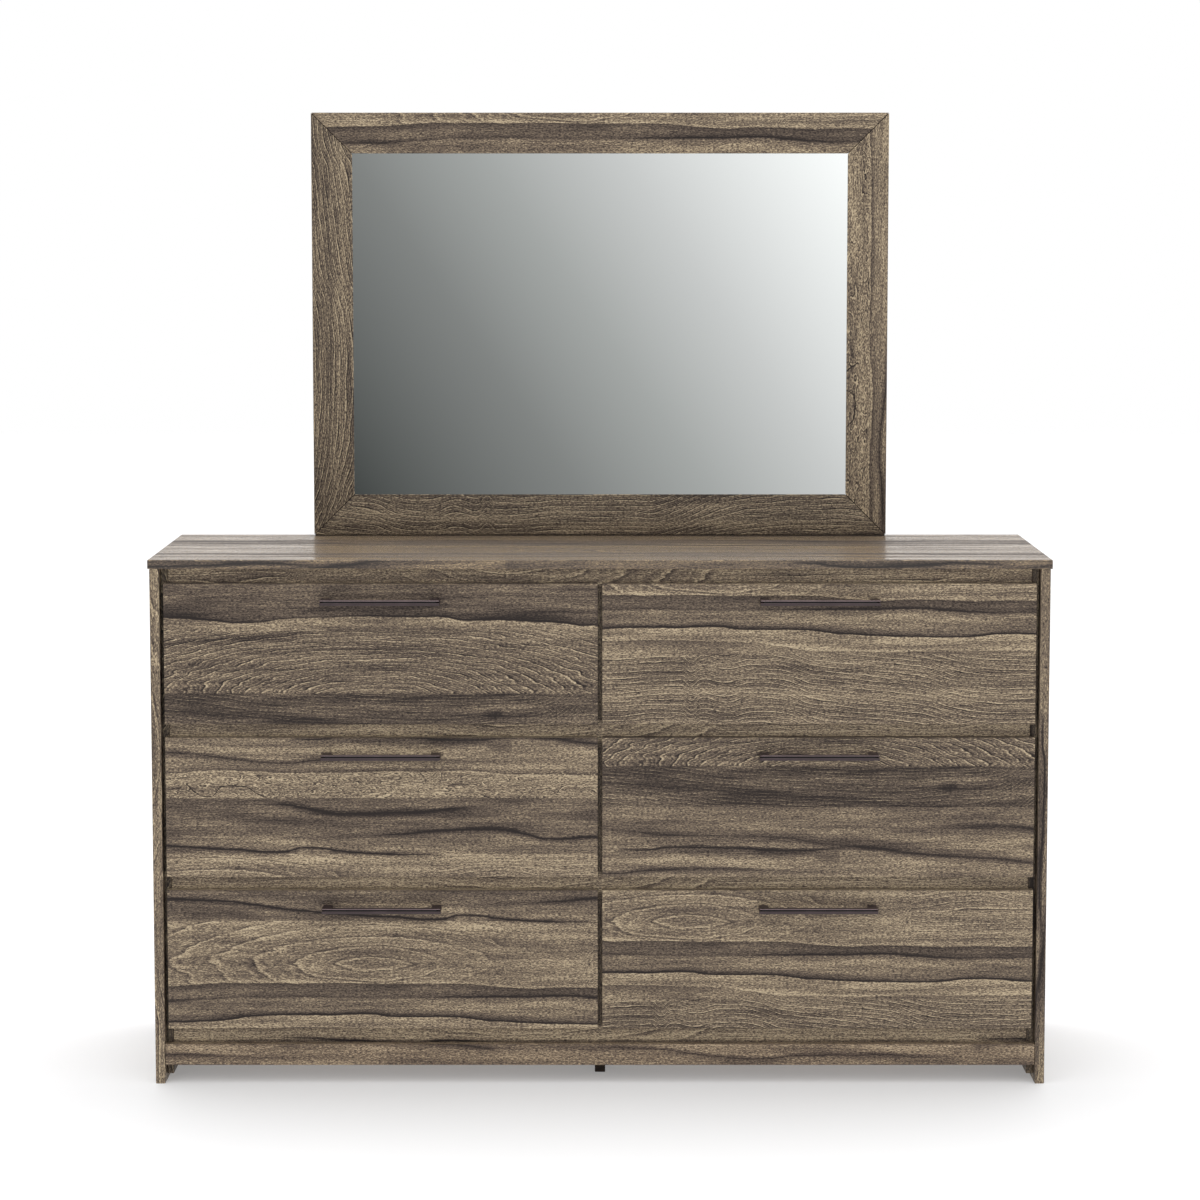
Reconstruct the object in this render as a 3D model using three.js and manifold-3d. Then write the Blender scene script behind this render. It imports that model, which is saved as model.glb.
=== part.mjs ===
import * as THREE from 'three';
import { mergeVertices } from 'three/addons/utils/BufferGeometryUtils.js';
import Module from 'manifold-3d';

const wasm = await Module();
wasm.setup();

// A dresser with six drawers on roller runners, and a framed mirror on two posts behind its top.
// Millimetres. X runs to the right as seen from the front, Y to the back and Z up from the floor.
// Depths are measured back from the front edges of the side panels.

// Clearances and edges shared by the whole piece
const seat = 0.3; // glue line between pieces that meet
const cutOver = 5; // how far a cutter runs past the face that it opens
const boardEase = 0.8; // eased edge of the laminated boards
const thinEase = 0.3; // eased edge of the thin boards and the glass
const arcSteps = 6;

// Top, sides and back
const topWidth = 1500;
const topDepth = 400;
const topThickness = 15;
const cabinetHeight = 887;
const sideOverhang = 2.5; // top past each side panel
const frontOverhang = 3; // top past the front edges of the side panels
const sideThickness = 16;
const backThickness = 3;
const backRebateWidth = 8;

// Face frame behind the drawer fronts
const frontBumper = 1.5; // air between a closed front and the face frame
const stileThickness = 12;
const stileDepth = 48;
const stileFloorGap = 12.5;
const railThickness = 15;
const topRailHeight = 42;
const railHeight = 50;
const railLap = 7; // a rail rises this far behind the drawer front above it
const rearRailHeight = 50;
const dividerThickness = 15;

// Base board and centre foot
const baseThickness = 16;
const baseHeight = 35.7;
const baseFloorGap = 31.3;
const footThickness = 17.5;
const footSetback = 56;
const footDepth = 240;
const footRake = 12; // the foot is this much shorter at each end where it meets the floor

// Drawer fronts
const rowNames = ['top', 'middle', 'bottom'];
const frontThickness = 16;
const topReveal = 24.7; // between the top and the upper row
const rowGap = 22.5;
const baseReveal = 27.3; // between the base board and the lower row
const sideGap = 6.7;
const centreGap = 7.5;

// Drawer boxes
const boxWall = 12;
const boxEase = 1.2;
const boxFold = 2; // chamfer of the folded rear corners
const boxLift = 8; // box above the rail under it
const boxHeadroom = 35.5; // box below the rail over it
const boxRearGap = 28;
const bottomThickness = 3;
const grooveRise = 10;
const grooveDepth = 5;
const groovePlay = 0.3; // air round the bottom board in its groove

// Roller runners
const runnerSpace = 12.5; // between a box side and the wall that carries the runner
const runnerSteel = 1.2;
const runnerHeight = 26;
const runnerLift = 20; // runner above the bottom of its box
const runnerSetback = 2; // runner behind the face frame's front, and slide behind the drawer front
const trackGap = 1; // slide track above the runner
const webGap = 1.3; // slide web beside the runner's flanges
const rollerSideGap = 0.8;
const rollerPlay = 1.5; // rear roller under the runner's upper flange
const rollingGap = 0.3; // under a roller, or over it where it carries
const rollerSetback = 1;
const rollerPocket = 2; // the upper flange stops this far from the front roller
const axleRadius = 3;
const axleLand = 5; // slide web below the rear axle
const rollerSides = 20;
const screwRadius = 2.25;
const screwSides = 8;
const screwShares = [0.15, 0.5, 0.96]; // screw places along a runner

// Handles
const handleLength = 198;
const handleHeight = 8.5;
const handleBar = 10; // depth of the bar
const handleProjection = 30;
const handleLeg = 16;
const handleFillet = 3;
const handleEase = 0.6;
const handleDrop = 29; // bar's middle below the top edge of the front

// Mirror
const mirrorWidth = 1020;
const mirrorHeight = 748.5;
const mirrorLift = 1.5; // above the dresser's top
const memberWidth = 71.5;
const memberThickness = 20;
const memberEase = 1.5;
const bandWidth = 22; // flat outer band of the moulding
const slopeDrop = 8; // from the band down to the lip at the glass
const slopeCrown = 5; // how far the slope swells above a straight line
const lipWidth = 3;
const glassRebateWidth = 10;
const glassRebateDepth = 9.5;
const glassThickness = 4;
const backingThickness = 3;
const glassPlay = 0.8;
const postWidth = 60;
const postThickness = 18;
const postInset = 180; // from the mirror's side to the middle of the post
const postBelow = 420; // reach below the dresser's top
const postTopGap = 30; // the posts end this far below the top of the mirror

// Places that follow from those sizes
const carcassDepth = topDepth - frontOverhang;
const outerHalf = topWidth / 2 - sideOverhang;
const innerHalf = outerHalf - sideThickness;
const underTop = cabinetHeight - topThickness - seat;
const backFront = carcassDepth - backThickness;
const frameFront = frontThickness + frontBumper;
const frameBack = frameFront + railThickness;
const bayOuter = innerHalf - seat - stileThickness;
const bayInner = dividerThickness / 2;
const rowCount = rowNames.length;
const lowerEdge = baseFloorGap + baseHeight + baseReveal;
const frontHeight = (cabinetHeight - topThickness - topReveal - lowerEdge - (rowCount - 1) * rowGap) / rowCount;
const rowPitch = frontHeight + rowGap;
const frontWidth = innerHalf - sideGap - centreGap / 2;
const dividerBottom = lowerEdge + railLap - railHeight;
const boxFront = frontThickness + seat;
const boxBack = backFront - boxRearGap;
const boxDepth = boxBack - boxFront;
const boxWidth = bayOuter - bayInner - 2 * runnerSpace;
const boxHeight = rowPitch - railHeight - boxLift - boxHeadroom;
const boxRise = railLap + boxLift; // box above the bottom edge of its front
const grooveWidth = bottomThickness + 2 * groovePlay;
const runnerFront = frameFront + runnerSetback;
const runnerLength = boxBack - runnerFront;
const runnerReach = runnerSpace - runnerSteel - webGap;
const rollerNear = seat + runnerSteel + rollerSideGap;
const rollerRadius = (runnerHeight - 2 * runnerSteel - rollingGap - rollerPlay) / 2;
const trackUnder = runnerHeight + trackGap;
const frontRollerHeight = trackUnder - rollingGap - rollerRadius;
const rearRollerHeight = runnerSteel + rollingGap + rollerRadius;
const mirrorBottom = cabinetHeight + mirrorLift;
const mirrorMiddle = mirrorBottom + mirrorHeight / 2;
const overallFront = -seat - handleProjection;
const overallBack = carcassDepth + seat + postThickness;

function finish(color, roughness, metalness) {
  return new THREE.MeshStandardMaterial({ color, roughness, metalness });
}

const laminate = () => finish(0x76675a, 0.55, 0);
const shadedBoard = () => finish(0x3f342b, 0.7, 0);
const drawerBoard = () => finish(0xa88f6e, 0.6, 0);
const hardboard = () => finish(0x8a6a48, 0.8, 0);
const bronze = () => finish(0x463a3a, 0.4, 0.8);
const steel = () => finish(0xb9bcbc, 0.35, 0.9);
const silvered = () => finish(0xc9cdcc, 0.03, 1);

function polygon(corners) {
  return new THREE.Shape(corners.map(([u, v]) => new THREE.Vector2(u, v)));
}

// Carries an outline along an axis, from zero to length, with both ends eased.
// The outline lies in (y, z) for axis x, in (x, z) for axis y and in (x, y) for axis z.
function prism(axis, outline, length, ease = 0) {
  const geometry = new THREE.ExtrudeGeometry(outline, {
    depth: length - 2 * ease,
    bevelEnabled: ease > 0,
    bevelThickness: ease,
    bevelSize: ease,
    bevelOffset: -ease,
    bevelSegments: 1,
    curveSegments: arcSteps,
  });
  geometry.translate(0, 0, ease);
  const right = new THREE.Vector3(1, 0, 0);
  const back = new THREE.Vector3(0, 1, 0);
  const up = new THREE.Vector3(0, 0, 1);
  const forward = back.clone().negate();
  const sides = { x: [back, up, right], y: [right, up, forward], z: [right, back, up] };
  geometry.applyMatrix4(new THREE.Matrix4().makeBasis(...sides[axis]));
  if (axis === 'y') {
    geometry.translate(0, length, 0);
  }
  return geometry;
}

// A board between two corners, its thickness along the axis thin.
function board(thin, from, to, ease = boardEase) {
  const size = new THREE.Vector3(...to).sub(new THREE.Vector3(...from));
  const [u, v] = ['x', 'y', 'z'].filter((axis) => axis !== thin).map((axis) => size[axis]);
  const outline = polygon([[0, 0], [u, 0], [u, v], [0, v]]);
  return prism(thin, outline, size[thin], ease).translate(...from);
}

function block(from, to) {
  const size = to.map((value, i) => value - from[i]);
  const middle = to.map((value, i) => (value + from[i]) / 2);
  return new THREE.BoxGeometry(...size).translate(...middle);
}

// A cylinder along X between two places.
function crossPin(radius, sides, fromX, toX, y, z) {
  const length = Math.abs(toX - fromX);
  const pin = new THREE.CylinderGeometry(radius, radius, length, sides);
  return pin.rotateZ(Math.PI / 2).translate((fromX + toX) / 2, y, z);
}

function toSolid(geometry) {
  const bare = geometry.clone();
  bare.deleteAttribute('normal');
  bare.deleteAttribute('uv');
  const merged = mergeVertices(bare);
  const vertProperties = merged.getAttribute('position').array;
  const triVerts = new Uint32Array(merged.getIndex().array);
  return new wasm.Manifold(new wasm.Mesh({ numProp: 3, vertProperties, triVerts }));
}

function toGeometry(solid) {
  const mesh = solid.getMesh();
  const geometry = new THREE.BufferGeometry();
  geometry.setAttribute('position', new THREE.BufferAttribute(mesh.vertProperties, 3));
  geometry.setIndex(new THREE.BufferAttribute(mesh.triVerts, 1));
  geometry.computeVertexNormals();
  return geometry;
}

function cut(geometry, cutters) {
  return toGeometry(cutters.reduce((solid, cutter) => solid.subtract(toSolid(cutter)), toSolid(geometry)));
}

function join(pieces) {
  return toGeometry(pieces.map(toSolid).reduce((whole, piece) => whole.add(piece)));
}

function add(parent, name, geometry, material) {
  const mesh = new THREE.Mesh(geometry, material);
  mesh.name = name;
  parent.add(mesh);
  return mesh;
}

function lowerEdgeOf(row) {
  return lowerEdge + (rowCount - 1 - row) * rowPitch;
}

function railSpan(row) {
  const top = lowerEdgeOf(row) + railLap;
  return [top - railHeight, top];
}

const dresser = new THREE.Group();
dresser.position.y = -(overallFront + overallBack) / 2;

// Top, sides and back panel
add(dresser, 'top_panel', board(
  'z',
  [-topWidth / 2, -frontOverhang, cabinetHeight - topThickness],
  [topWidth / 2, carcassDepth, cabinetHeight],
), laminate());

function sidePanel(side) {
  const inner = side * innerHalf;
  const outer = side * outerHalf;
  const panel = board('x', [Math.min(inner, outer), 0, 0], [Math.max(inner, outer), carcassDepth, underTop]);
  const rebate = [side * (innerHalf - cutOver), side * (innerHalf + backRebateWidth)];
  return cut(panel, [block(
    [Math.min(...rebate), backFront - seat, -cutOver],
    [Math.max(...rebate), carcassDepth + cutOver, cabinetHeight],
  )]);
}

const backHalf = innerHalf + backRebateWidth - seat;
add(dresser, 'back_panel', board(
  'y',
  [-backHalf, backFront, dividerBottom],
  [backHalf, carcassDepth, underTop],
  thinEase,
), hardboard());

// Stiles against the side panels: the front pair shows beside the drawers, the rear pair carries the runners' ends
function stile(side, from) {
  const inner = side * bayOuter;
  const outer = side * (bayOuter + stileThickness);
  return board(
    'x',
    [Math.min(inner, outer), from, stileFloorGap],
    [Math.max(inner, outer), from + stileDepth, underTop],
  );
}

const sideNames = { left: -1, right: 1 };
for (const [sideName, side] of Object.entries(sideNames)) {
  add(dresser, `side_panel_${sideName}`, sidePanel(side), laminate());
  add(dresser, `front_stile_${sideName}`, stile(side, frameFront), shadedBoard());
  add(dresser, `rear_stile_${sideName}`, stile(side, backFront - seat - stileDepth), shadedBoard());
}

// Rails between the stiles, crossing the divider in half laps
const railSpans = {
  top_rail: [underTop - topRailHeight, underTop],
  upper_rail: railSpan(0),
  lower_rail: railSpan(1),
  bottom_rail: railSpan(2),
};
const railEnd = bayOuter - seat;
for (const [name, [bottom, top]] of Object.entries(railSpans)) {
  add(dresser, name, board('y', [-railEnd, frameFront, bottom], [railEnd, frameBack, top]), laminate());
}

const rearRailFront = backFront - seat - railThickness;
add(dresser, 'rear_top_rail', board(
  'y',
  [-railEnd, rearRailFront, underTop - rearRailHeight],
  [railEnd, backFront - seat, underTop],
), shadedBoard());

// Divider between the two bays, notched for every rail that crosses it
function centreDivider() {
  const panel = board('x', [-bayInner, frameFront, dividerBottom], [bayInner, backFront - seat, underTop]);
  const half = bayInner + cutOver;
  const frontNotches = Object.values(railSpans).map(([bottom, top]) => block(
    [-half, frameFront - cutOver, bottom - seat],
    [half, frameBack + seat, top + seat],
  ));
  const rearNotch = block(
    [-half, rearRailFront - seat, underTop - rearRailHeight - seat],
    [half, backFront + cutOver, underTop + seat],
  );
  return cut(panel, [...frontNotches, rearNotch]);
}
add(dresser, 'centre_divider', centreDivider(), laminate());

// Base board, closing the front below the lower drawers
const baseEnd = innerHalf - seat;
const baseBack = frameFront - seat;
add(dresser, 'base_board', board(
  'y',
  [-baseEnd, baseBack - baseThickness, baseFloorGap],
  [baseEnd, baseBack, baseFloorGap + baseHeight],
), laminate());

// Centre foot under the divider, its ends raked back towards the floor
const footTop = dividerBottom - seat;
const footBack = footSetback + footDepth;
const footOutline = polygon([
  [footSetback + footRake, 0],
  [footBack - footRake, 0],
  [footBack, footTop],
  [footSetback, footTop],
]);
add(
  dresser,
  'centre_foot',
  prism('x', footOutline, footThickness, boardEase).translate(-footThickness / 2, 0, 0),
  shadedBoard(),
);

// Cabinet runner: a folded channel with its roller at the front end, in a frame whose X leaves the wall.
// facing is 1 where the drawer lies at higher X than the wall, and -1 where it lies at lower X.
function cabinetRunner(facing) {
  const wall = facing * seat;
  const web = facing * (seat + runnerSteel);
  const reach = facing * runnerReach;
  const channel = prism('y', polygon([
    [wall, 0],
    [reach, 0],
    [reach, runnerSteel],
    [web, runnerSteel],
    [web, runnerHeight - runnerSteel],
    [reach, runnerHeight - runnerSteel],
    [reach, runnerHeight],
    [wall, runnerHeight],
  ]), runnerLength);
  const rollerY = rollerSetback + rollerRadius;
  const far = reach + facing * cutOver;
  const pocket = block(
    [Math.min(web, far), -cutOver, runnerHeight - runnerSteel - cutOver],
    [Math.max(web, far), rollerY + rollerRadius + rollerPocket, runnerHeight + cutOver],
  );
  const screws = screwShares.map((share) => crossPin(
    screwRadius,
    screwSides,
    wall - facing * cutOver,
    web + facing * cutOver,
    share * runnerLength,
    runnerHeight / 2,
  ));
  const opened = cut(channel, [pocket, ...screws]);
  const middle = wall + (facing * runnerSteel) / 2;
  return join([
    opened,
    crossPin(axleRadius, rollerSides, middle, reach, rollerY, frontRollerHeight),
    crossPin(rollerRadius, rollerSides, facing * rollerNear, reach, rollerY, frontRollerHeight),
  ]);
}

// Drawer slide: a web on the box side with a track turned out over the cabinet roller, and its own roller
// at the rear end, running inside the cabinet runner's channel. X is zero at the wall as above.
function drawerSlide(facing) {
  const boxSide = facing * runnerSpace;
  const fused = facing * (runnerSpace + boxWall / 2);
  const web = facing * (runnerSpace - runnerSteel);
  const trackEdge = facing * rollerNear;
  const webBottom = rearRollerHeight - axleRadius - axleLand;
  const trackTop = trackUnder + runnerSteel;
  const length = boxDepth - runnerSetback;
  const folded = prism('y', polygon([
    [boxSide + (fused - boxSide) / 2, webBottom],
    [boxSide + (fused - boxSide) / 2, trackTop],
    [trackEdge, trackTop],
    [trackEdge, trackUnder],
    [web, trackUnder],
    [web, webBottom],
  ]), length);
  const rollerY = length - rollerSetback - rollerRadius;
  return join([
    folded,
    crossPin(axleRadius, rollerSides, facing * rollerNear, boxSide, rollerY, rearRollerHeight),
    crossPin(rollerRadius, rollerSides, facing * rollerNear, facing * runnerReach, rollerY, rearRollerHeight),
  ]);
}

// Slab that cuts the groove for the bottom board, over its own outline
function grooveSlab() {
  const half = boxWidth / 2 - boxWall + grooveDepth;
  return block(
    [-half, boxFront - seat - grooveDepth, boxRise + grooveRise],
    [half, boxBack - boxWall + grooveDepth, boxRise + grooveRise + grooveWidth],
  );
}

// Box: both sides and the back folded from one board, seen in plan, with a slide along each side
function drawerBox() {
  const half = boxWidth / 2;
  const inner = half - boxWall;
  const innerBack = boxDepth - boxWall;
  const folded = prism('z', polygon([
    [-half, 0],
    [-inner, 0],
    [-inner, innerBack],
    [inner, innerBack],
    [inner, 0],
    [half, 0],
    [half, boxDepth - boxFold],
    [half - boxFold, boxDepth],
    [-half + boxFold, boxDepth],
    [-half, boxDepth - boxFold],
  ]), boxHeight, boxEase).translate(0, boxFront, boxRise);
  const wallHalf = half + runnerSpace;
  const slides = [-1, 1].map((side) => (
    drawerSlide(-side).translate(side * wallHalf, boxFront + runnerSetback, boxRise + runnerLift)
  ));
  return cut(join([folded, ...slides]), [grooveSlab()]);
}

function drawerFront(offset) {
  const half = frontWidth / 2;
  const panel = board('y', [offset - half, 0, 0], [offset + half, frontThickness, frontHeight]);
  return cut(panel, [grooveSlab()]);
}

function drawerBottom() {
  const half = boxWidth / 2 - boxWall + grooveDepth - groovePlay;
  return board(
    'z',
    [-half, boxFront - seat - grooveDepth + groovePlay, boxRise + grooveRise + groovePlay],
    [half, boxBack - boxWall + grooveDepth - groovePlay, boxRise + grooveRise + groovePlay + bottomThickness],
    thinEase,
  );
}

// Handle: a square bar with a leg at each end, seen in plan, the inner corners rounded
function handle() {
  const half = handleLength / 2;
  const inner = half - handleLeg;
  const front = -handleProjection;
  const barBack = front + handleBar;
  const outline = new THREE.Shape();
  outline.moveTo(-half, 0);
  outline.lineTo(-half, front);
  outline.lineTo(half, front);
  outline.lineTo(half, 0);
  outline.lineTo(inner, 0);
  outline.lineTo(inner, barBack + handleFillet);
  outline.absarc(inner - handleFillet, barBack + handleFillet, handleFillet, 0, -Math.PI / 2, true);
  outline.lineTo(-inner + handleFillet, barBack);
  outline.absarc(-inner + handleFillet, barBack + handleFillet, handleFillet, -Math.PI / 2, -Math.PI, true);
  outline.lineTo(-inner, 0);
  return prism('z', outline, handleHeight, handleEase);
}

// One drawer, in a frame at the middle of its bay and at the lower edge of its front
const bayMiddle = (bayOuter + bayInner) / 2;
const frontMiddle = centreGap / 2 + frontWidth / 2;
function drawer(name, side) {
  const group = new THREE.Group();
  const offset = side * (frontMiddle - bayMiddle);
  add(group, `${name}_front`, drawerFront(offset), laminate());
  add(group, `${name}_box`, drawerBox(), drawerBoard());
  add(group, `${name}_bottom`, drawerBottom(), hardboard());
  const pull = add(group, `${name}_handle`, handle(), bronze());
  pull.position.set(offset, -seat, frontHeight - handleDrop - handleHeight / 2);
  return group;
}

for (const [row, rowName] of rowNames.entries()) {
  for (const [sideName, side] of Object.entries(sideNames)) {
    const place = `${rowName}_${sideName}`;
    const unit = drawer(`drawer_${place}`, side);
    unit.position.set(side * bayMiddle, 0, lowerEdgeOf(row));
    dresser.add(unit);

    const walls = { outer: [side * bayOuter, -side], inner: [side * bayInner, side] };
    for (const [wallName, [wallX, facing]] of Object.entries(walls)) {
      const runner = add(dresser, `runner_${place}_${wallName}`, cabinetRunner(facing), steel());
      runner.position.set(wallX, runnerFront, lowerEdgeOf(row) + boxRise + runnerLift);
    }
  }
}

// Mirror frame: a moulding with a flat outer band, a crowned slope down to the glass and a rebate behind it.
// Across the section, y is zero at the back and z is zero at the outer edge.
function mouldingOutline() {
  const slopeEnd = memberWidth - lipWidth;
  const lipFront = memberThickness - slopeDrop;
  const crown = memberThickness - slopeDrop / 2 + slopeCrown / 2;
  const outline = new THREE.Shape();
  outline.moveTo(0, 0);
  outline.lineTo(-memberThickness + memberEase, 0);
  outline.lineTo(-memberThickness, memberEase);
  outline.lineTo(-memberThickness, bandWidth);
  outline.quadraticCurveTo(-crown, (bandWidth + slopeEnd) / 2, -lipFront, slopeEnd);
  outline.lineTo(-lipFront, memberWidth);
  outline.lineTo(-glassRebateDepth, memberWidth);
  outline.lineTo(-glassRebateDepth, memberWidth - glassRebateWidth);
  outline.lineTo(0, memberWidth - glassRebateWidth);
  return outline;
}

// A member with both ends mitred: each point's reach shrinks as it lies further in from the outer edge
function frameMember(length) {
  const geometry = prism('x', mouldingOutline(), length).translate(-length / 2, 0, 0);
  const position = geometry.getAttribute('position');
  for (let i = 0; i < position.count; i += 1) {
    const reach = length / 2 - position.getZ(i) - seat / 2;
    position.setX(i, Math.sign(position.getX(i)) * reach);
  }
  geometry.computeVertexNormals();
  return geometry;
}

const mirror = new THREE.Group();
mirror.position.set(0, carcassDepth, mirrorMiddle);
dresser.add(mirror);
for (const [quarterTurns, name] of ['bottom', 'left', 'top', 'right'].entries()) {
  const upright = name === 'left' || name === 'right';
  const [length, span] = upright ? [mirrorHeight, mirrorWidth] : [mirrorWidth, mirrorHeight];
  const turned = new THREE.Group();
  turned.rotation.y = (quarterTurns * Math.PI) / 2;
  mirror.add(turned);
  const member = add(turned, `mirror_frame_${name}`, frameMember(length), laminate());
  member.position.z = -span / 2;
}

const glassHalfWidth = mirrorWidth / 2 - memberWidth + glassRebateWidth - glassPlay;
const glassHalfHeight = mirrorHeight / 2 - memberWidth + glassRebateWidth - glassPlay;
function pane(front, thickness) {
  return board(
    'y',
    [-glassHalfWidth, front, -glassHalfHeight],
    [glassHalfWidth, front + thickness, glassHalfHeight],
    thinEase,
  );
}
const glassFront = -glassRebateDepth + seat;
add(mirror, 'mirror_glass', pane(glassFront, glassThickness), silvered());
add(mirror, 'mirror_backing', pane(glassFront + glassThickness + seat, backingThickness), hardboard());

// Posts behind the dresser and the mirror
for (const [sideName, side] of Object.entries(sideNames)) {
  const middle = side * (mirrorWidth / 2 - postInset);
  add(dresser, `mirror_post_${sideName}`, board(
    'y',
    [middle - postWidth / 2, carcassDepth + seat, cabinetHeight - postBelow],
    [middle + postWidth / 2, carcassDepth + seat + postThickness, mirrorBottom + mirrorHeight - postTopGap],
  ), shadedBoard());
}

export default dresser;
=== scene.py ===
import math

import bmesh
import bpy
import numpy as np
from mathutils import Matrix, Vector


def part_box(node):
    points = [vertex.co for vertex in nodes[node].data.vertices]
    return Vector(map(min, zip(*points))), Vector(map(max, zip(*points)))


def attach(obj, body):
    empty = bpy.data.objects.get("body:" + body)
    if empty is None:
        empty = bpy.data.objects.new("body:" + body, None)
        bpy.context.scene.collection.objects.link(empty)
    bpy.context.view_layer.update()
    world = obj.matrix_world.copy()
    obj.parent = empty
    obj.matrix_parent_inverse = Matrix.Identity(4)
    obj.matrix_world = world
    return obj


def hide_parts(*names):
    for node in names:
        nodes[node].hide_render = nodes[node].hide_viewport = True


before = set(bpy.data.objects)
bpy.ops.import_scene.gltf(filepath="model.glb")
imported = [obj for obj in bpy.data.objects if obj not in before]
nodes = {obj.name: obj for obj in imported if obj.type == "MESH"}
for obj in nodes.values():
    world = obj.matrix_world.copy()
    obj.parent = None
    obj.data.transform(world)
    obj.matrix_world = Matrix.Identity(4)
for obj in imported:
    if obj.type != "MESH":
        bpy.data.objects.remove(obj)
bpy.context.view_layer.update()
scene = bpy.context.scene
mm = 0.001
cm = 0.01
hair = 0.01 * mm  # points closer than this are one
sides = {"left": -1, "right": 1}
levels = ("top", "middle", "bottom")
walls = ("outer", "inner")
drawers = [f"drawer_{level}_{side}" for level in levels for side in sides]
crispCorner = 32.0  # degrees, above which an edge is drawn sharp

# Camera, at the height and angle of the photograph
shot = {"place": (0.0, -5.011, 1.443), "pitch": 5.019, "lens": 87.79, "shift": (0.0, -0.10)}

# Lights, metres and watts
studio = {
    "dome": 1.0,
    "lamps": {
        "overhead": {"place": (0.0, 0.75, 4.2), "aim": (0.0, 0.75, 0.0), "size": (3.0, 1.6), "power": 72.0},
        "frontLeft": {"place": (-3.2, -4.2, 3.0), "aim": (0.0, 0.0, 0.8), "size": (2.6, 2.6), "power": 8.0},
    },
    "floorHalf": 15.0,
    "floorTone": (221, 221, 222),
    "floorEdgeTone": (238, 238, 238),
    "floorFade": (1.6, 4.0),  # metres out from the dresser over which the floor grows paler
    "floorMottle": 0.05,
    "floorGlow": 0.24,  # light that comes up through the floor and keeps the shadow pale
    "floorRoughness": 0.75,
    "floorSpecular": 0.2,
}

# Grey card behind the camera. Only reflections see it, and it gives the glass its slanting light.
card = {
    "behind": -7.0,
    "halfWidth": 2.4,
    "height": 4.2,
    "spanX": (-1.07, 1.07),  # the part that the mirror shows from the front
    "spanZ": (0.27, 1.76),
    "lean": (0.68, 0.32),  # share of the change that runs sideways, and upwards
    "tones": [(0.0, (62, 65, 64)), (0.32, (127, 129, 128)), (0.5, (162, 164, 163)), (0.68, (197, 198, 198)),
              (1.0, (252, 253, 253))],
    "strength": 1.1,
}


# Screen colour from 0 to 255 as the light it stands for
def linear(colour):
    return [((c / 255 + 0.055) / 1.055) ** 2.4 if c > 10 else c / 255 / 12.92 for c in colour]


def makeCamera():
    data = bpy.data.cameras.new("photoCamera")
    data.sensor_width = 36.0
    data.lens = shot["lens"]
    data.shift_x, data.shift_y = shot["shift"]
    camera = bpy.data.objects.new("photoCamera", data)
    camera.location = shot["place"]
    camera.rotation_euler = (math.radians(90.0 - shot["pitch"]), 0.0, 0.0)
    scene.collection.objects.link(camera)
    scene.camera = camera


def makeLamps():
    world = bpy.data.worlds.new("whiteStudio")
    world.use_nodes = True
    sky = world.node_tree.nodes["Background"]
    plugAll(sky, {"Color": (1.0, 1.0, 1.0, 1.0), "Strength": studio["dome"]})
    scene.world = world
    for name, spec in studio["lamps"].items():
        data = bpy.data.lights.new(name, "AREA")
        data.shape = "RECTANGLE"
        data.size, data.size_y = spec["size"]
        data.energy = spec["power"]
        lamp = bpy.data.objects.new(name, data)
        lamp.location = spec["place"]
        aim = Vector(spec["aim"]) - Vector(spec["place"])
        lamp.rotation_euler = aim.to_track_quat("-Z", "Y").to_euler()
        scene.collection.objects.link(lamp)
    scene.view_settings.view_transform = "Standard"


# Indices of the four-sided faces between neighbouring points of a grid, row by row. The last column joins
# the first, and so does the last row where the rows are closed.
def gridFaces(rows, columns, closedRows):
    lastRow = rows if closedRows else rows - 1
    row, column = np.meshgrid(np.arange(lastRow), np.arange(columns), indexing="ij")
    nextRow, nextColumn = (row + 1) % rows, (column + 1) % columns
    faces = np.stack([row * columns + column, row * columns + nextColumn,
                      nextRow * columns + nextColumn, nextRow * columns + column], axis=-1)
    return faces.reshape(-1, 4).tolist()


# A closed skin over rings of points (rings, points in a ring, 3), with a flat face over each open end
def skin(rings, closedRows=False):
    rows, columns = rings.shape[:2]
    faces = gridFaces(rows, columns, closedRows)
    if not closedRows:
        faces.append(list(range(columns)))
        faces.append(list(range((rows - 1) * columns, rows * columns))[::-1])
    return rings.reshape(-1, 3), faces


# Puts skins together in one mesh, with its faces turned outwards and its corners crisp
def makePiece(name, skins, body, material, replaced=()):
    points, faces, shift = [], [], 0
    for skinPoints, skinFaces in skins:
        points.append(skinPoints)
        faces.extend([[corner + shift for corner in face] for face in skinFaces])
        shift += len(skinPoints)
    mesh = bpy.data.meshes.new(name)
    mesh.from_pydata(np.concatenate(points).tolist(), [], faces)
    work = bmesh.new()
    work.from_mesh(mesh)
    bmesh.ops.remove_doubles(work, verts=work.verts, dist=hair)
    bmesh.ops.recalc_face_normals(work, faces=work.faces)
    work.to_mesh(mesh)
    work.free()
    mesh.polygons.foreach_set("use_smooth", np.ones(len(mesh.polygons), dtype=bool))
    mesh.set_sharp_from_angle(angle=math.radians(crispCorner))
    mesh.materials.append(material)
    piece = bpy.data.objects.new(name, mesh)
    scene.collection.objects.link(piece)
    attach(piece, body)
    if replaced:
        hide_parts(*replaced)
    return piece


# Points on a circle's arc: middle + radius (cos a, sin a) for angles a spread evenly, in degrees
def arc(middle, radius, fromAngle, toAngle, count):
    angles = np.radians(np.linspace(fromAngle, toAngle, count))
    return np.stack([middle[0] + radius * np.cos(angles), middle[1] + radius * np.sin(angles)], axis=-1)


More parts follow.
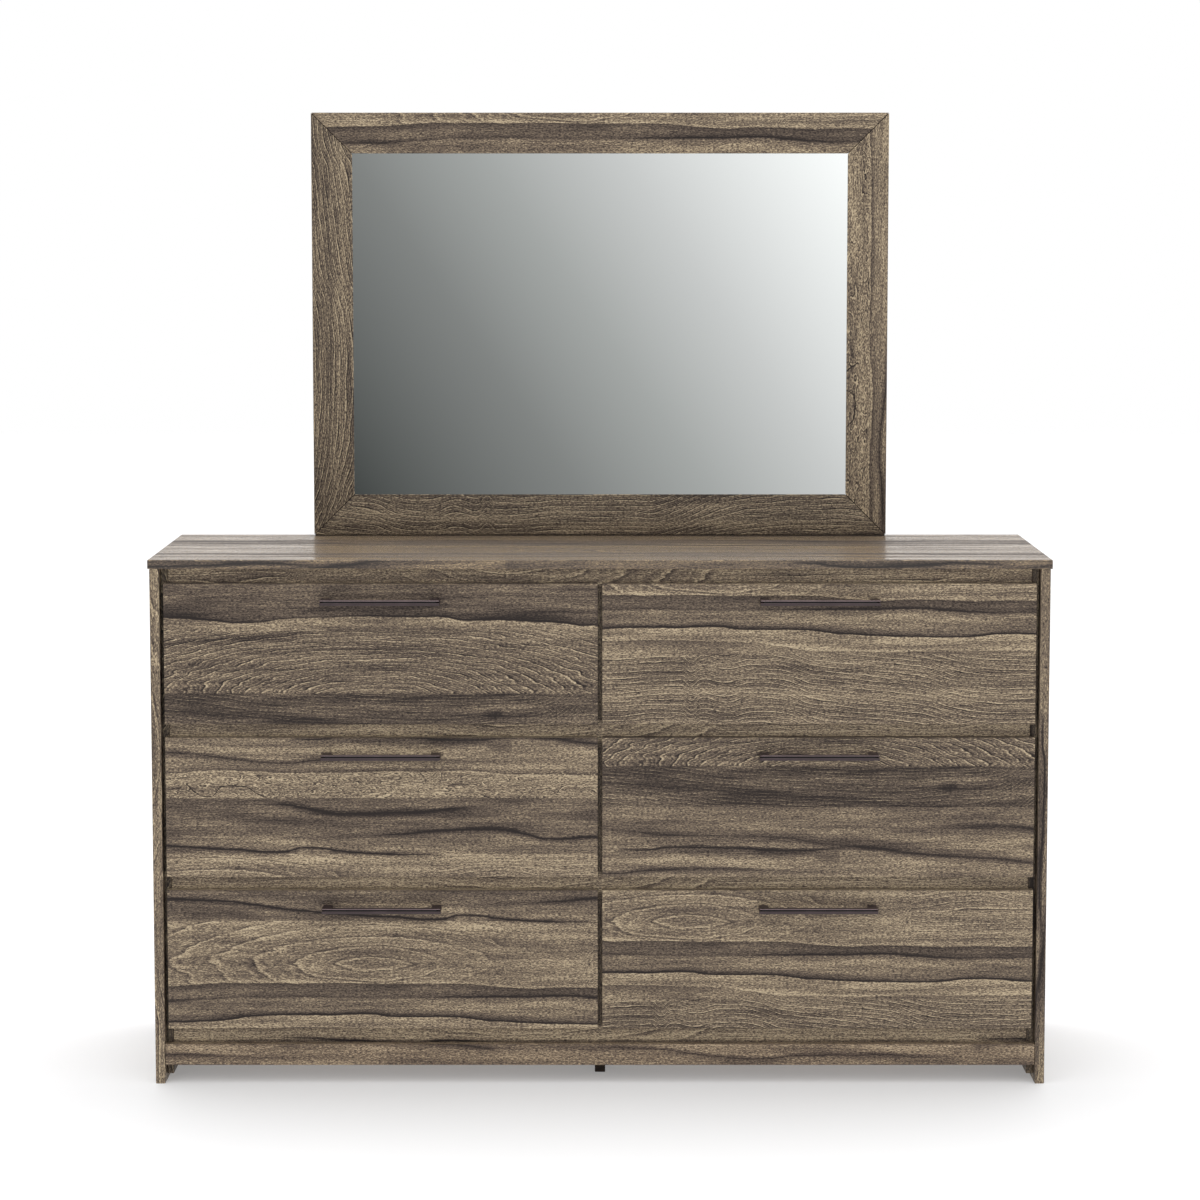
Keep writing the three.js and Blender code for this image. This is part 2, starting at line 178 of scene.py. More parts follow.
# Rings of a turned shape: for each (radius, place along the axis) of the profile, a circle about the axis
def turned(profile, middle, axis, count):
    radius, along = np.array(profile, dtype=float).T[:, :, None]
    angles = np.linspace(0.0, 2 * np.pi, count, endpoint=False)[None, :]
    flat = [radius * np.cos(angles), radius * np.sin(angles)]
    spread = along + 0 * angles
    parts = {"x": (spread, *flat), "y": (flat[0], spread, flat[1]), "z": (*flat, spread)}
    return np.stack(parts[axis], axis=-1) + np.array(middle)


# A flat outline's points in space, with the third coordinate along the axis
def placed(outline, axis, along):
    u, v = outline.T
    along = np.broadcast_to(along, u.shape)
    parts = {"x": (along, u, v), "y": (u, along, v), "z": (u, v, along)}
    return np.stack(parts[axis], axis=-1)


def unit(vectors):
    return vectors / np.maximum(np.linalg.norm(vectors, axis=1, keepdims=True), 1e-9)


# Closed outline with its corners rounded: each corner becomes an arc that meets both sides squarely. The
# arc's middle lies on the bisector, at radius / sin(half the corner's angle) from the corner.
def rounded(corners, radii, count=5):
    corners = np.array(corners, dtype=float)
    radii = np.broadcast_to(np.array(radii, dtype=float), len(corners))[:, None]
    before = unit(np.roll(corners, 1, axis=0) - corners)
    after = unit(np.roll(corners, -1, axis=0) - corners)
    half = np.arccos(np.clip((before * after).sum(axis=1, keepdims=True), -1, 1)) / 2
    middle = corners + unit(before + after) * radii / np.sin(half)
    start = corners + before * radii / np.tan(half) - middle
    end = corners + after * radii / np.tan(half) - middle
    turn = (np.pi - 2 * half)[:, None]
    share = np.linspace(0.0, 1.0, count)[None, :, None]
    blend = np.sin((1 - share) * turn) * start[:, None] + np.sin(share * turn) * end[:, None]
    return (middle[:, None] + blend / np.sin(turn)).reshape(-1, 2)


def roundedBox(lowU, lowV, highU, highV, radius):
    return rounded([(lowU, lowV), (highU, lowV), (highU, highV), (lowU, highV)], radius)


# Moves a closed outline inwards by a distance: each point goes along the mean of its two sides' normals,
# lengthened so that both sides move by that distance
def inset(outline, distance):
    turnLeft = np.array([[0.0, 1.0], [-1.0, 0.0]])
    mean = unit(outline - np.roll(outline, 1, axis=0)) @ turnLeft
    mean = mean + unit(np.roll(outline, -1, axis=0) - outline) @ turnLeft
    squares = (mean * mean).sum(axis=1, keepdims=True)
    mean = mean / np.maximum(squares / 2, 0.3)  # no long spikes at sharp corners
    x, y = outline.T
    anticlockwise = (x * np.roll(y, -1) - np.roll(x, -1) * y).sum() > 0
    return outline + mean * distance * (1 if anticlockwise else -1)


# Carries an outline along an axis, its two end edges rounded over by a small radius
def carried(outline, axis, start, end, ease=0.0):
    stations = [(start, 0.0), (end, 0.0)]
    if ease > 0:
        turn = np.radians([0.0, 45.0, 90.0])
        bend = list(zip(ease * (1 - np.cos(turn)), ease * (1 - np.sin(turn))))
        stations = [(start + place, pull) for place, pull in bend]
        stations += [(end - place, pull) for place, pull in bend[::-1]]
    return np.array([placed(inset(outline, pull), axis, place) for place, pull in stations])


# A number or vector worked out by a node tree. Sums and products of these add Math nodes to the tree.
class Field:
    def __init__(self, socket):
        self.socket = socket
        self.node = socket.node
        self.tree = socket.id_data

    def __add__(self, other):
        return mathNode("ADD", self, other)

    def __sub__(self, other):
        return mathNode("SUBTRACT", self, other)

    def __mul__(self, other):
        return mathNode("MULTIPLY", self, other)

    def __truediv__(self, other):
        return mathNode("DIVIDE", self, other)

    __radd__ = __add__


# Links fields to a node's sockets and sets the other values, by the sockets' places or names
def plugAll(node, values):
    for name, value in values.items():
        socket = node.inputs[name]
        if isinstance(value, Field):
            value.tree.links.new(value.socket, socket)
        else:
            socket.default_value = value


def addNode(tree, kind, values, output=0, **settings):
    node = tree.nodes.new(f"ShaderNode{kind}")
    for name, setting in settings.items():
        setattr(node, name, setting)
    plugAll(node, values)
    return Field(node.outputs[output])


def mathNode(operation, *values):
    tree = next(value.tree for value in values if isinstance(value, Field))
    return addNode(tree, "Math", dict(enumerate(values)), operation=operation)


# Carries a number from one span to another, eased at both ends, and holds it there
def remap(value, fromLow, fromHigh, toLow=0.0, toHigh=1.0, eased=True):
    values = dict(enumerate((value, fromLow, fromHigh, toLow, toHigh)))
    return addNode(value.tree, "MapRange", values, interpolation_type="SMOOTHSTEP" if eased else "LINEAR")


def mix(low, high, share):
    return addNode(share.tree, "Mix", {0: share, 2: low, 3: high})


def combine(x, y, z):
    return addNode(x.tree, "CombineXYZ", {0: x, 1: y, 2: z})


def split(vector):
    parts = addNode(vector.tree, "SeparateXYZ", {0: vector})
    return [Field(output) for output in parts.node.outputs]


def stretched(vector, factors):
    values = {0: vector, 1: np.broadcast_to(factors, 3)}
    return addNode(vector.tree, "VectorMath", values, operation="MULTIPLY")


# Cloudy noise from -1 to 1 about zero
def noise(vector, waves, detail=2.0, rough=0.5, twist=0.0):
    values = {"Vector": stretched(vector, waves), "Scale": 1.0, "Detail": detail, "Roughness": rough,
              "Distortion": twist}
    return addNode(vector.tree, "TexNoise", values, output="Fac") * 2.0 - 1.0


# A drawn line through (place, height) points
def drawnCurve(place, points, straight=False):
    lowPlace, highPlace = points[0][0], points[-1][0]
    heights = [height for _, height in points]
    low, span = min(heights), (max(heights) - min(heights)) or 1.0
    share = remap(place, lowPlace, highPlace, eased=False)
    drawn = addNode(place.tree, "FloatCurve", {"Value": share})
    curve = drawn.node.mapping.curves[0]
    while len(curve.points) < len(points):
        curve.points.new(0.5, 0.5)
    for point, (x, y) in zip(curve.points, points):
        point.location = ((x - lowPlace) / (highPlace - lowPlace), (y - low) / span)
        point.handle_type = "VECTOR" if straight else "AUTO_CLAMPED"
    drawn.node.mapping.update()
    return drawn * span + low


def colourRamp(share, stops):
    ramp = addNode(share.tree, "ValToRGB", {0: share})
    elements = ramp.node.color_ramp.elements
    while len(elements) < len(stops):
        elements.new(1.0)
    for element, (place, _) in zip(elements, stops):
        element.position = place
    for element, (_, colour) in zip(elements, stops):
        element.color = (*linear(colour), 1.0)
    return ramp


def between(value, low, high):
    return mathNode("GREATER_THAN", value, low) * mathNode("LESS_THAN", value, high)


# Distance from the middle in half lengths. With a point, the level lines are lenses that end in tips
# along u.
def ellipseDistance(u, v, middleU, middleV, halfU, halfV, point=0.0):
    du, dv = (u - middleU) / halfU, (v - middleV) / halfV
    squares = du * du + dv * dv
    if point:
        squares = squares + mathNode("ABSOLUTE", dv) * point
    return mathNode("SQRT", squares)


# The printed sheet that every laminated board is cut from, in centimetres. u runs along the grain, v down
# across it, and the print comes round again every "repeat" along u.
laminatePrint = {
    "repeat": 116.8,
    # tone down the sheet, from 0 dark to 1 light
    "tone": [
        (0.0, 0.42), (2.0, 0.34), (5.0, 0.38), (7.0, 0.45), (10.0, 0.40), (13.0, 0.41), (17.0, 0.40),
        (18.4, 0.42), (21.0, 0.48), (25.3, 0.48), (28.0, 0.44), (31.5, 0.43), (34.0, 0.48), (36.0, 0.53),
        (37.9, 0.56), (39.5, 0.57), (42.5, 0.56), (45.5, 0.52), (49.0, 0.58), (51.9, 0.64), (53.5, 0.62),
        (57.0, 0.51), (62.0, 0.55), (64.5, 0.47), (67.0, 0.48), (69.0, 0.46), (71.0, 0.57), (73.5, 0.48),
        (76.0, 0.44), (79.0, 0.52), (81.7, 0.43), (84.5, 0.48),
    ],
    "middle": 0.53,
    "lift": 0.535,  # where the curve's middle lies in the ramp
    "contrast": 1.12,  # of the tone curve, about its middle
    "ramp": [
        (0.0, (44, 38, 36)), (0.2, (76, 66, 59)), (0.42, (107, 94, 82)), (0.6, (131, 116, 98)),
        (0.8, (160, 143, 117)), (1.0, (196, 178, 149)),
    ],
    "bend": {"drift": 0.5, "ripple": 0.16},  # centimetres by which the streaks wander
    "broken": {"base": 1.35, "streaky": 1.0, "smoke": 0.8},  # strength of the streaks, broken up by noises
    "fine": {"smoke": 0.46, "fibre": 0.62, "grit": 1.45},
    "streakyFine": (0.46, -0.5),  # share of the streaky noise in dark wood, and what pale wood adds
    "grained": (0.26, 1.2),  # the same for fibre and grit
    "knotReach": 1.6,  # in half lengths
    "streakCore": 0.12,  # half width of the thin line on a streak
    "coreEdges": (-2.0, -0.4, 0.4, 1.6),  # where the line starts, is full, and ends, in half widths
    "streakHalfway": 0.45,  # share of a streak's reach at which its tone has fallen
    "fallenTone": (0.45, 0.5),  # to this share, above the line and below it
    "streakEnd": 3.01,  # farther from the line than any streak reaches
}

# Noises of the print: waves a centimetre along u, along v and through, then detail, roughness and twist
printNoises = {
    "drift": ((0.07, 0.4, 0.3), 2.0, 0.5),  # slow bends of the streaks and growth lines
    "ripple": ((0.5, 1.4, 1.0), 3.0, 0.6),
    "curl": ((0.22, 0.75, 0.6), 1.0, 0.5),
    "patches": ((0.16, 0.8, 0.5), 2.0),
    "smoke": ((0.05, 0.6, 0.4), 3.0, 0.6),
    "streaky": ((0.1, 2.6, 1.4), 3.0, 0.65),
    "fibre": ((0.8, 4.2, 3.0), 3.0, 0.7, 0.5),
    "grit": ((2.2, 6.8, 5.0), 2.0, 0.8),
}

# The plain planks of the print meet at crisp edges: from v, to v, tone
planks = [(18.4, 25.3, -0.2), (42.5, 51.9, -0.2)]

# Streaks that follow a drawn line. "above" and "below" give their reach and tone on each side of it, "core"
# the tone of a thin line on it, and "strength" tells where along the grain they show.
streaks = {
    "firstHeartline": {
        "line": [(0, 6.9), (17, 7.3), (34, 6.3), (47.4, 5.7), (55, 5.9), (61, 6.4), (67, 5.9), (73, 5.6),
                 (92, 5.5), (99, 6.2), (107, 6.1), (116.8, 6.9)],
        "above": (3.0, -0.22), "below": (2.0, 0.18), "core": -0.22,
        "strength": [(0, 1), (47, 1), (62, 0.8), (76, 0.6), (88, 0.9), (104, 1.1), (116.8, 1)],
    },
    "longArc": {
        "line": [(44, 10.6), (50, 10.1), (55, 9.5), (62, 8.8), (70, 8.1), (80, 7.6), (94, 7.9),
                 (107, 8.7)],
        "above": (0.6, -0.1), "below": (1.2, -0.1), "core": -0.1,
        "strength": [(42, 0), (50, 1), (60, 1), (84, 0.4), (107, 0)],
    },
    "slantShade": {
        "line": [(42, 19.0), (58, 21.0), (72, 23.0), (84, 24.4), (100, 25.1), (116, 25.4)],
        "above": (2.2, -0.14), "below": (2.2, -0.12), "core": 0.0,
        "strength": [(26, 0), (40, 0.4), (60, 1), (90, 1), (110, 0.5), (116.8, 0)],
    },
    "longFall": {
        "line": [(38, 28.0), (50, 29.4), (58, 30.1), (72, 30.4), (80, 31.3), (89, 32.2), (97, 33.2),
                 (107, 33.9), (116, 34.6)],
        "above": (1.6, -0.18), "below": (1.0, -0.22), "core": -0.12,
        "strength": [(24, 0), (38, 0.2), (50, 0.6), (80, 0.7), (95, 1), (112, 1), (116.8, 0.5)],
    },
    "underFall": {
        "line": [(46, 32.8), (52, 32.6), (58, 32.0), (67, 32.2), (75, 32.6), (84, 32.3)],
        "above": (0.3, -0.3), "below": (1.4, -0.2), "core": -0.15,
        "strength": [(46, 0), (55, 1), (72, 1), (86, 0)],
    },
    "rightBlade": {
        "line": [(92, 28.8), (104, 28.7), (110, 28.5), (116.8, 28.9)],
        "above": (0.8, -0.26), "below": (0.9, -0.24), "core": -0.05,
        "strength": [(98, 0), (108, 0.8), (116.8, 1)],
    },
    "barkLine": {
        "line": [(20, 34.5), (27, 34.8), (34, 35.6), (39, 36.2), (46, 36.4), (51, 36.0), (60, 35.8),
                 (72, 36.2), (84, 36.6)],
        "above": (0.5, -0.24), "below": (1.3, -0.16), "core": -0.1,
        "strength": [(6, 0), (18, 0.3), (28, 0.8), (45, 1), (60, 0.9), (84, 0.2), (98, 0)],
    },
    "paleWedge": {
        "line": [(92, 31.5), (104, 32.0), (116, 32.6)],
        "above": (1.4, 0.16), "below": (1.6, 0.22), "core": 0.0,
        "strength": [(96, 0), (108, 0.8), (116.8, 1)],
    },
    "paleRun": {
        "line": [(20, 33.0), (34, 33.8), (60, 34.4), (84, 34.6), (100, 35.2)],
        "above": (1.0, 0.1), "below": (1.2, 0.12), "core": 0.0,
        "strength": [(2, 0), (14, 1), (34, 1), (60, 0.6), (84, 0.7), (104, 1), (112, 0)],
    },
    "sapEdge": {
        "line": [(0, 38.2), (26, 38.2), (36, 37.8), (50, 38.0), (74, 37.8), (84, 38.3), (98, 38.4),
                 (116.8, 38.2)],
        "above": (1.0, -0.14), "below": (0.8, 0.14), "core": -0.08,
    },
    "crack": {
        "line": [(29.8, 40.2), (31.3, 41.5), (33.5, 42.2), (35.6, 40.7), (38.5, 40.5), (41.8, 41.8),
                 (43.2, 42.4)],
        "above": (0.2, 0.0), "below": (0.3, 0.12), "core": -0.5,
        "strength": [(29.6, 0), (30.2, 1), (42.5, 1), (43.2, 0)],
    },
    "plumeLine": {
        "line": [(26, 43.8), (43, 43.5), (48.6, 44.0), (52, 44.6), (57, 45.1), (67, 44.9), (74, 44.2),
                 (79, 43.9)],
        "above": (0.5, -0.2), "below": (1.2, -0.26), "core": -0.14,
        "strength": [(14, 0), (26, 0.15), (42, 0.3), (50, 1), (68, 1), (79, 0.3), (84, 0)],
    },
    "rightPlume": {
        "line": [(60, 48.8), (72, 48.0), (80, 47.7), (86, 48.2), (91, 49.2), (98, 49.0), (108, 49.2)],
        "above": (0.3, -0.26), "below": (1.0, -0.2), "core": -0.2,
        "strength": [(60, 0), (68, 0.8), (88, 1), (98, 1), (112, 0)],
    },
    "longRoot": {
        "line": [(0, 48.1), (8, 48.4), (15, 49.2), (23, 50.1), (32, 50.8), (39, 51.4), (45.5, 51.7),
                 (50, 50.9), (55, 51.4), (62, 51.8), (74, 52.2), (80, 52.2), (98, 47.8), (116.8, 48.1)],
        "above": (0.4, -0.2), "below": (0.9, -0.24), "core": -0.3,
        "strength": [(0, 0.7), (30, 1), (60, 1), (72, 0.4), (76, 0), (98, 0), (116.8, 0.7)],
    },
    "rootShade": {
        "line": [(0, 49.4), (10, 50.4), (20, 51.6), (40, 51.6), (96, 48.8), (116.8, 49.4)],
        "above": (1.2, -0.12), "below": (1.4, -0.16), "core": 0.0,
        "strength": [(0, 1), (12, 0.9), (24, 0), (98, 0), (116.8, 1)],
    },
    "paleLens": {
        "line": [(28, 49.4), (40, 49.4), (52, 50.4)],
        "above": (0.8, 0.18), "below": (0.9, 0.18), "core": 0.0,
        "strength": [(28, 0), (36, 1), (50, 0.8), (56, 0)],
    },
    "plankShade": {
        "line": [(0, 62.9), (18, 62.5), (43, 62.6), (55, 63.1), (67, 63.3), (90, 63.5), (116.8, 62.9)],
        "above": (0.9, 0.1), "below": (2.6, -0.24), "core": -0.04,
    },
    "shadeFoot": {
        "line": [(0, 65.6), (10, 65.0), (22, 64.7), (43, 65.0), (55, 64.8), (64, 64.7), (72, 65.0),
                 (90, 65.4), (116.8, 65.6)],
        "above": (0.9, -0.16), "below": (0.5, -0.2), "core": -0.12,
        "strength": [(0, 1), (20, 0.5), (40, 0.4), (52, 1), (70, 1), (90, 0.6), (116.8, 1)],
    },
    "paleHeart": {
        "line": [(45, 66.6), (60, 66.3), (75, 67.0), (90, 67.3)],
        "above": (0.9, 0.14), "below": (1.2, 0.14), "core": 0.0,
        "strength": [(42, 0), (54, 1), (76, 0.8), (92, 0)],
    },
    "sharpLine": {
        "line": [(0, 69.2), (10, 68.7), (18, 68.0), (33.5, 67.8), (38, 68.3), (45, 68.3), (55, 69.0),
                 (67, 69.5), (77, 69.3), (82, 69.0), (92, 69.5), (116.8, 69.2)],
        "above": (1.5, -0.22), "below": (2.0, 0.17), "core": -0.22,
    },
    "paleFoot": {
        "line": [(0, 70.8), (15, 70.2), (37, 70.3), (44, 71.0), (55, 71.9), (70, 72.0), (90, 71.7),
                 (116.8, 70.8)],
        "above": (0.9, 0.12), "below": (1.6, -0.1), "core": 0.0,
    },
}

# Knots and eyes: middle, half length along the grain, half height, tone
knots = [
    (102.2, 21.9, 1.6, 0.9, -0.2),
    (82.0, 34.2, 2.0, 0.8, -0.16),
    (47.0, 73.8, 2.6, 0.8, -0.12),
    (58.0, 78.7, 1.2, 0.5, -0.16),
    (4.5, 51.2, 3.0, 0.7, -0.12),
    (102.0, 36.5, 5.0, 0.6, -0.1),
]

# Growth lines of each zone of the sheet, "lines" of them a centimetre. They keep their distance from the
# drawn line "along", or run round "rings" (middle, half length, half height). They bulge over an "eye", by
# the reach and rise of "eyeSpan", turn into a "lens" before "lensEnd", and are bent by drift and curl.
# "fades" tells where along the grain they show.
figures = {
    "arches": {"zone": (7.7, 18.4), "strength": 1.15, "lines": 14.0, "drift": 0.75, "curl": 0.35,
               "rings": (82.5, 19.6, 38.0, 10.0)},
    "flow": {"zone": (18.4, 25.3), "strength": 0.8, "lines": 1.7, "drift": 0.6, "curl": 0.2,
             "along": [(0, -1.0), (40, 0), (72, 3.0), (100, 3.9), (116.8, -1.0)],
             "eye": (102.2, 21.9, 4.0, 1.8), "eyeSpan": (0.0, 2.0, 1.4, 0.0)},
    "swirl": {"zone": (38.2, 42.5), "strength": 1.15, "drift": 4.0, "curl": 2.4},
    "almond": {"zone": (51.9, 62.7), "strength": 0.85, "lines": 1.3, "drift": 0.6, "curl": 0.15,
               "along": [(0, 0.0), (50, 0.4), (62, -0.6), (74, 0.7), (90, 0.2), (116.8, 0.0)],
               "eye": (80.0, 55.0, 5.0, 1.6), "eyeSpan": (0.2, 2.2, 1.6, 0.0),
               "lens": (34.2, 59.2, 7.4, 2.0, 0.9), "lensLines": 1.1, "lensDrift": 0.35,
               "lensEnd": (56.0, 72.0),
               "fades": [(0, 0.85), (42, 0.85), (50, 0.4), (62, 0.4), (76, 1.0), (116.8, 0.85)]},
    "wave": {"zone": (72.4, 84.5), "strength": 1.4, "lines": 1.25, "drift": 0.6, "curl": 0.2,
             "along": [(0, 0.3), (15, 0.5), (25, 0), (28, 0), (29.5, 1.0), (31.3, -0.2), (35, 0.5),
                       (40, -0.3), (50, 1.5), (67, 3.2), (84, 5.5), (116.8, 0.3)]},
}

# Each growth line is a thin dark one with a thin light one beside it, and finer lines run between them.
# Profiles go from one line to the next, as (share of the way, tone).
growth = {
    "profile": [(0.0, -1.0), (0.08, -0.6), (0.2, -0.1), (0.6, 0.0), (0.82, 0.2), (0.9, 1.0), (0.97, 1.0),
                (1.0, 0.0)],
    "tone": 0.42,
    "patches": (-0.3, 0.4, 0.35, 1.0),  # span of the patch noise, and the strength of the lines over it
    "fineProfile": [(0.0, -0.5), (0.3, -0.2), (0.6, 0.1), (0.85, 0.6), (1.0, -0.5)],
    "fineTone": 0.26,
    "fineLines": 3.0,
    "fineCurl": 0.8,
    "ripple": 0.08,
    "fibre": 0.05,
}


# One streak's tone: distance below its drawn line, read through a profile. From the line outwards it falls
# softly to nothing at the streak's reach, above and below, and the thin line's tone is added in the middle.
def streakTone(u, v, spec):
    p = laminatePrint
    aboveReach, aboveTone = spec["above"]
    belowReach, belowTone = spec["below"]
    start, full, stillFull, end = [edge * p["streakCore"] for edge in p["coreEdges"]]
    aboveShare, belowShare = p["fallenTone"]
    profile = [
        (-p["streakEnd"], 0.0), (-aboveReach, 0.0),
        (-aboveReach * p["streakHalfway"], aboveTone * aboveShare), (start, aboveTone),
        (full, aboveTone + spec["core"]), (stillFull, spec["core"] + min(aboveTone, belowTone)),
        (end, belowTone), (belowReach * p["streakHalfway"], belowTone * belowShare),
        (belowReach, 0.0), (p["streakEnd"], 0.0),
    ]
    tone = drawnCurve(v - drawnCurve(u, spec["line"]), profile, straight=True)
    return tone * drawnCurve(u, spec["strength"]) if "strength" in spec else tone


# A zone's growth lines as a height field: there is a line wherever the height passes a whole number
def figureHeight(figure, u, v, drift, curl):
    height = drift * figure["drift"]
    if "rings" in figure:
        middle, half = figure["rings"][0], laminatePrint["repeat"] / 2
        nearest = mathNode("WRAP", u, middle + half, middle - half)
        height = ellipseDistance(nearest, v, *figure["rings"]) * figure["lines"] + height
    if "along" in figure:
        height = (v - drawnCurve(u, figure["along"])) * figure["lines"] + height
    if "eye" in figure:
        height = remap(ellipseDistance(u, v, *figure["eye"]), *figure["eyeSpan"]) + height
    if "lens" in figure:
        lens = ellipseDistance(u, v, *figure["lens"]) * figure["lensLines"] + drift * figure["lensDrift"]
        height = mix(lens, height, remap(u, *figure["lensEnd"]))
    return height + curl * figure["curl"]


def growthTone(u, v, fields):
    curl, height, strength = fields["curl"], 0.0, 0.0
    for figure in figures.values():
        zone = between(v, *figure["zone"])
        height = figureHeight(figure, u, v, fields["drift"], curl) * zone + height
        share = zone * figure["strength"]
        if "fades" in figure:
            share = share * drawnCurve(u, figure["fades"])
        strength = share + strength
    height = height + fields["ripple"] * growth["ripple"] + fields["fibre"] * growth["fibre"]
    patches = remap(fields["patches"], *growth["patches"])
    line = drawnCurve(mathNode("FRACT", height), growth["profile"], straight=True)
    fineHeight = height * growth["fineLines"] + curl * growth["fineCurl"]
    fineLine = drawnCurve(mathNode("FRACT", fineHeight), growth["fineProfile"], straight=True)
    return (line * patches * growth["tone"] + fineLine * growth["fineTone"]) * strength


def makePrintGroup():
    tree = bpy.data.node_groups.new("laminatePrint", "ShaderNodeTree")
    tree.interface.new_socket("Sheet", in_out="INPUT", socket_type="NodeSocketVector")
    for name, kind in (("Colour", "Color"), ("Tone", "Float"), ("Fibre", "Float")):
        tree.interface.new_socket(name, in_out="OUTPUT", socket_type=f"NodeSocket{kind}")
    entry = tree.nodes.new("NodeGroupInput")
    leave = tree.nodes.new("NodeGroupOutput")
    sheet = stretched(Field(entry.outputs[0]), 1 / cm)
    rawU, rawV, _ = split(sheet)
    fields = {name: noise(sheet, *spec) for name, spec in printNoises.items()}
    smoke, streaky = fields["smoke"], fields["streaky"]
    u = mathNode("WRAP", rawU, laminatePrint["repeat"], 0.0)
    bend, broken, fine = laminatePrint["bend"], laminatePrint["broken"], laminatePrint["fine"]
    v = rawV + fields["drift"] * bend["drift"] + fields["ripple"] * bend["ripple"]

    tone = (drawnCurve(rawV, laminatePrint["tone"]) - laminatePrint["middle"]) * laminatePrint["contrast"]
    tone = tone + laminatePrint["lift"] + sum(between(rawV, low, high) * step for low, high, step in planks)
    marks = sum(streakTone(u, v, spec) for spec in streaks.values())
    for *place, depth in knots:
        marks = marks + remap(ellipseDistance(u, v, *place), 0.0, laminatePrint["knotReach"], depth, 0.0)
    tone = tone + marks * (streaky * broken["streaky"] + smoke * broken["smoke"] + broken["base"])
    tone = tone + growthTone(u, rawV, fields)
    dark, paler = laminatePrint["streakyFine"]
    tone = tone + smoke * fine["smoke"] + streaky * (tone * paler + dark)
    dark, paler = laminatePrint["grained"]
    tone = tone + (fields["fibre"] * fine["fibre"] + fields["grit"] * fine["grit"]) * (tone * paler + dark)
    colour = colourRamp(tone, laminatePrint["ramp"])
    plugAll(leave, {"Colour": colour, "Tone": tone, "Fibre": fields["fibre"]})
    return tree


# Sheet places, in centimetres, of the corner of each board where its grain and across coordinates start.
# "grain" and "across" give the direction in which u and v grow, "edge" the place for the long edges.
# "gain" makes a board lighter or darker. "specular" and "roughness" take the place of laminateSkin's.
frontWay = {"grain": "x", "across": "-z"}
railWay = {"grain": "-x", "across": "z"}
boards = {
    "top_panel": {"grain": "x", "across": "-y", "face": (57.5, 33.4), "edge": (57.5, 31.7),
                  "gain": (0.915, 0.865, 0.8), "specular": 0.52, "roughness": (0.12, 0.62)},
    "side_panel_left": {"grain": "-z", "across": "-y", "face": (3.8, 36.0), "edge": (3.8, 56.0),
                        "edgeAcross": "-x"},
    "side_panel_right": {"grain": "-z", "across": "y", "face": (22.9, 33.1), "edge": (22.9, 31.5),
                         "edgeAcross": "-x"},
    "base_board": {**frontWay, "face": (61.4, 34.0), "gain": (0.95, 0.92, 0.92)},
    "top_rail": {**railWay, "face": (64.3, 54.9), "gain": 1.1},
    "upper_rail": {**railWay, "face": (64.3, 50.9), "gain": 1.08},
    "lower_rail": {**railWay, "face": (64.3, 50.7), "gain": 1.08},
    "bottom_rail": {**railWay, "face": (64.3, 50.0)},
    "centre_divider": {"grain": "-z", "across": "y", "face": (40.0, 20.0)},
    "drawer_top_left_front": {**frontWay, "face": (47.4, 0.0)},
    "drawer_top_right_front": {**frontWay, "face": (14.7, 60.6)},
    "drawer_middle_left_front": {**frontWay, "face": (26.3, 32.3)},
    "drawer_middle_right_front": {**frontWay, "face": (44.4, 13.6)},
    "drawer_bottom_left_front": {**frontWay, "face": (0.0, 46.7)},
    "drawer_bottom_right_front": {**frontWay, "face": (19.6, 53.9)},
    "mirror_frame_top": {**frontWay, "face": (-12.3, 60.7), "wrapped": True, "gain": 1.06},
    "mirror_frame_bottom": {**railWay, "face": (-41.6, 75.7), "wrapped": True, "gain": 0.8},
    "mirror_frame_left": {"grain": "-z", "across": "x", "face": (40.0, 74.5), "wrapped": True,
                          "gain": 0.86},
    "mirror_frame_right": {"grain": "-z", "across": "-x", "face": (-14.35, 35.3), "wrapped": True},
    # the front stiles' low gain paints the shade of their narrow recess beside the drawer fronts
    "front_stile_left": {"grain": "-z", "across": "y", "face": (10.0, 8.0), "gain": 0.62},
    "front_stile_right": {"grain": "-z", "across": "-y", "face": (50.0, 28.0), "gain": 0.62},
}

laminateSkin = {
    "roughness": (0.28, 0.46),  # where the print is light, and where it is dark
    "lightToDark": (0.8, 0.2),  # tones between which it changes
    "bump": 0.35,
    "bumpHeight": 0.12 * mm,
    "specular": 0.14,
    "edgeAbove": 5.0,  # centimetres down the sheet from a board's face to its edges
    "edgeFacing": 0.72,
}


def newMaterial(name):
    material = bpy.data.materials.new(name)
    material.use_nodes = True
    return material, material.node_tree, material.node_tree.nodes["Principled BSDF"]


def surface(tree, kind="Object"):
    return addNode(tree, "TexCoord", {}, output=kind)


# 1 where the surface faces along an axis, one way or the other, and 0 elsewhere
def facesAlong(tree, axis, least):
    facing = split(surface(tree, "Normal"))["xyz".index(axis)]
    return mathNode("GREATER_THAN", mathNode("ABSOLUTE", facing), least)


def bumped(height, strength, distance):
    values = {"Strength": strength, "Distance": distance, "Height": height}
    return addNode(height.tree, "Bump", values, output="Normal")


# Metres from the side of the node's box where the direction starts
def measured(parts, box, direction):
    axis = "xyz".index(direction[-1])
    low, high = box[0][axis], box[1][axis]
    if direction[0] == "-":
        return parts[axis] * -1.0 + high
    return parts[axis] - low


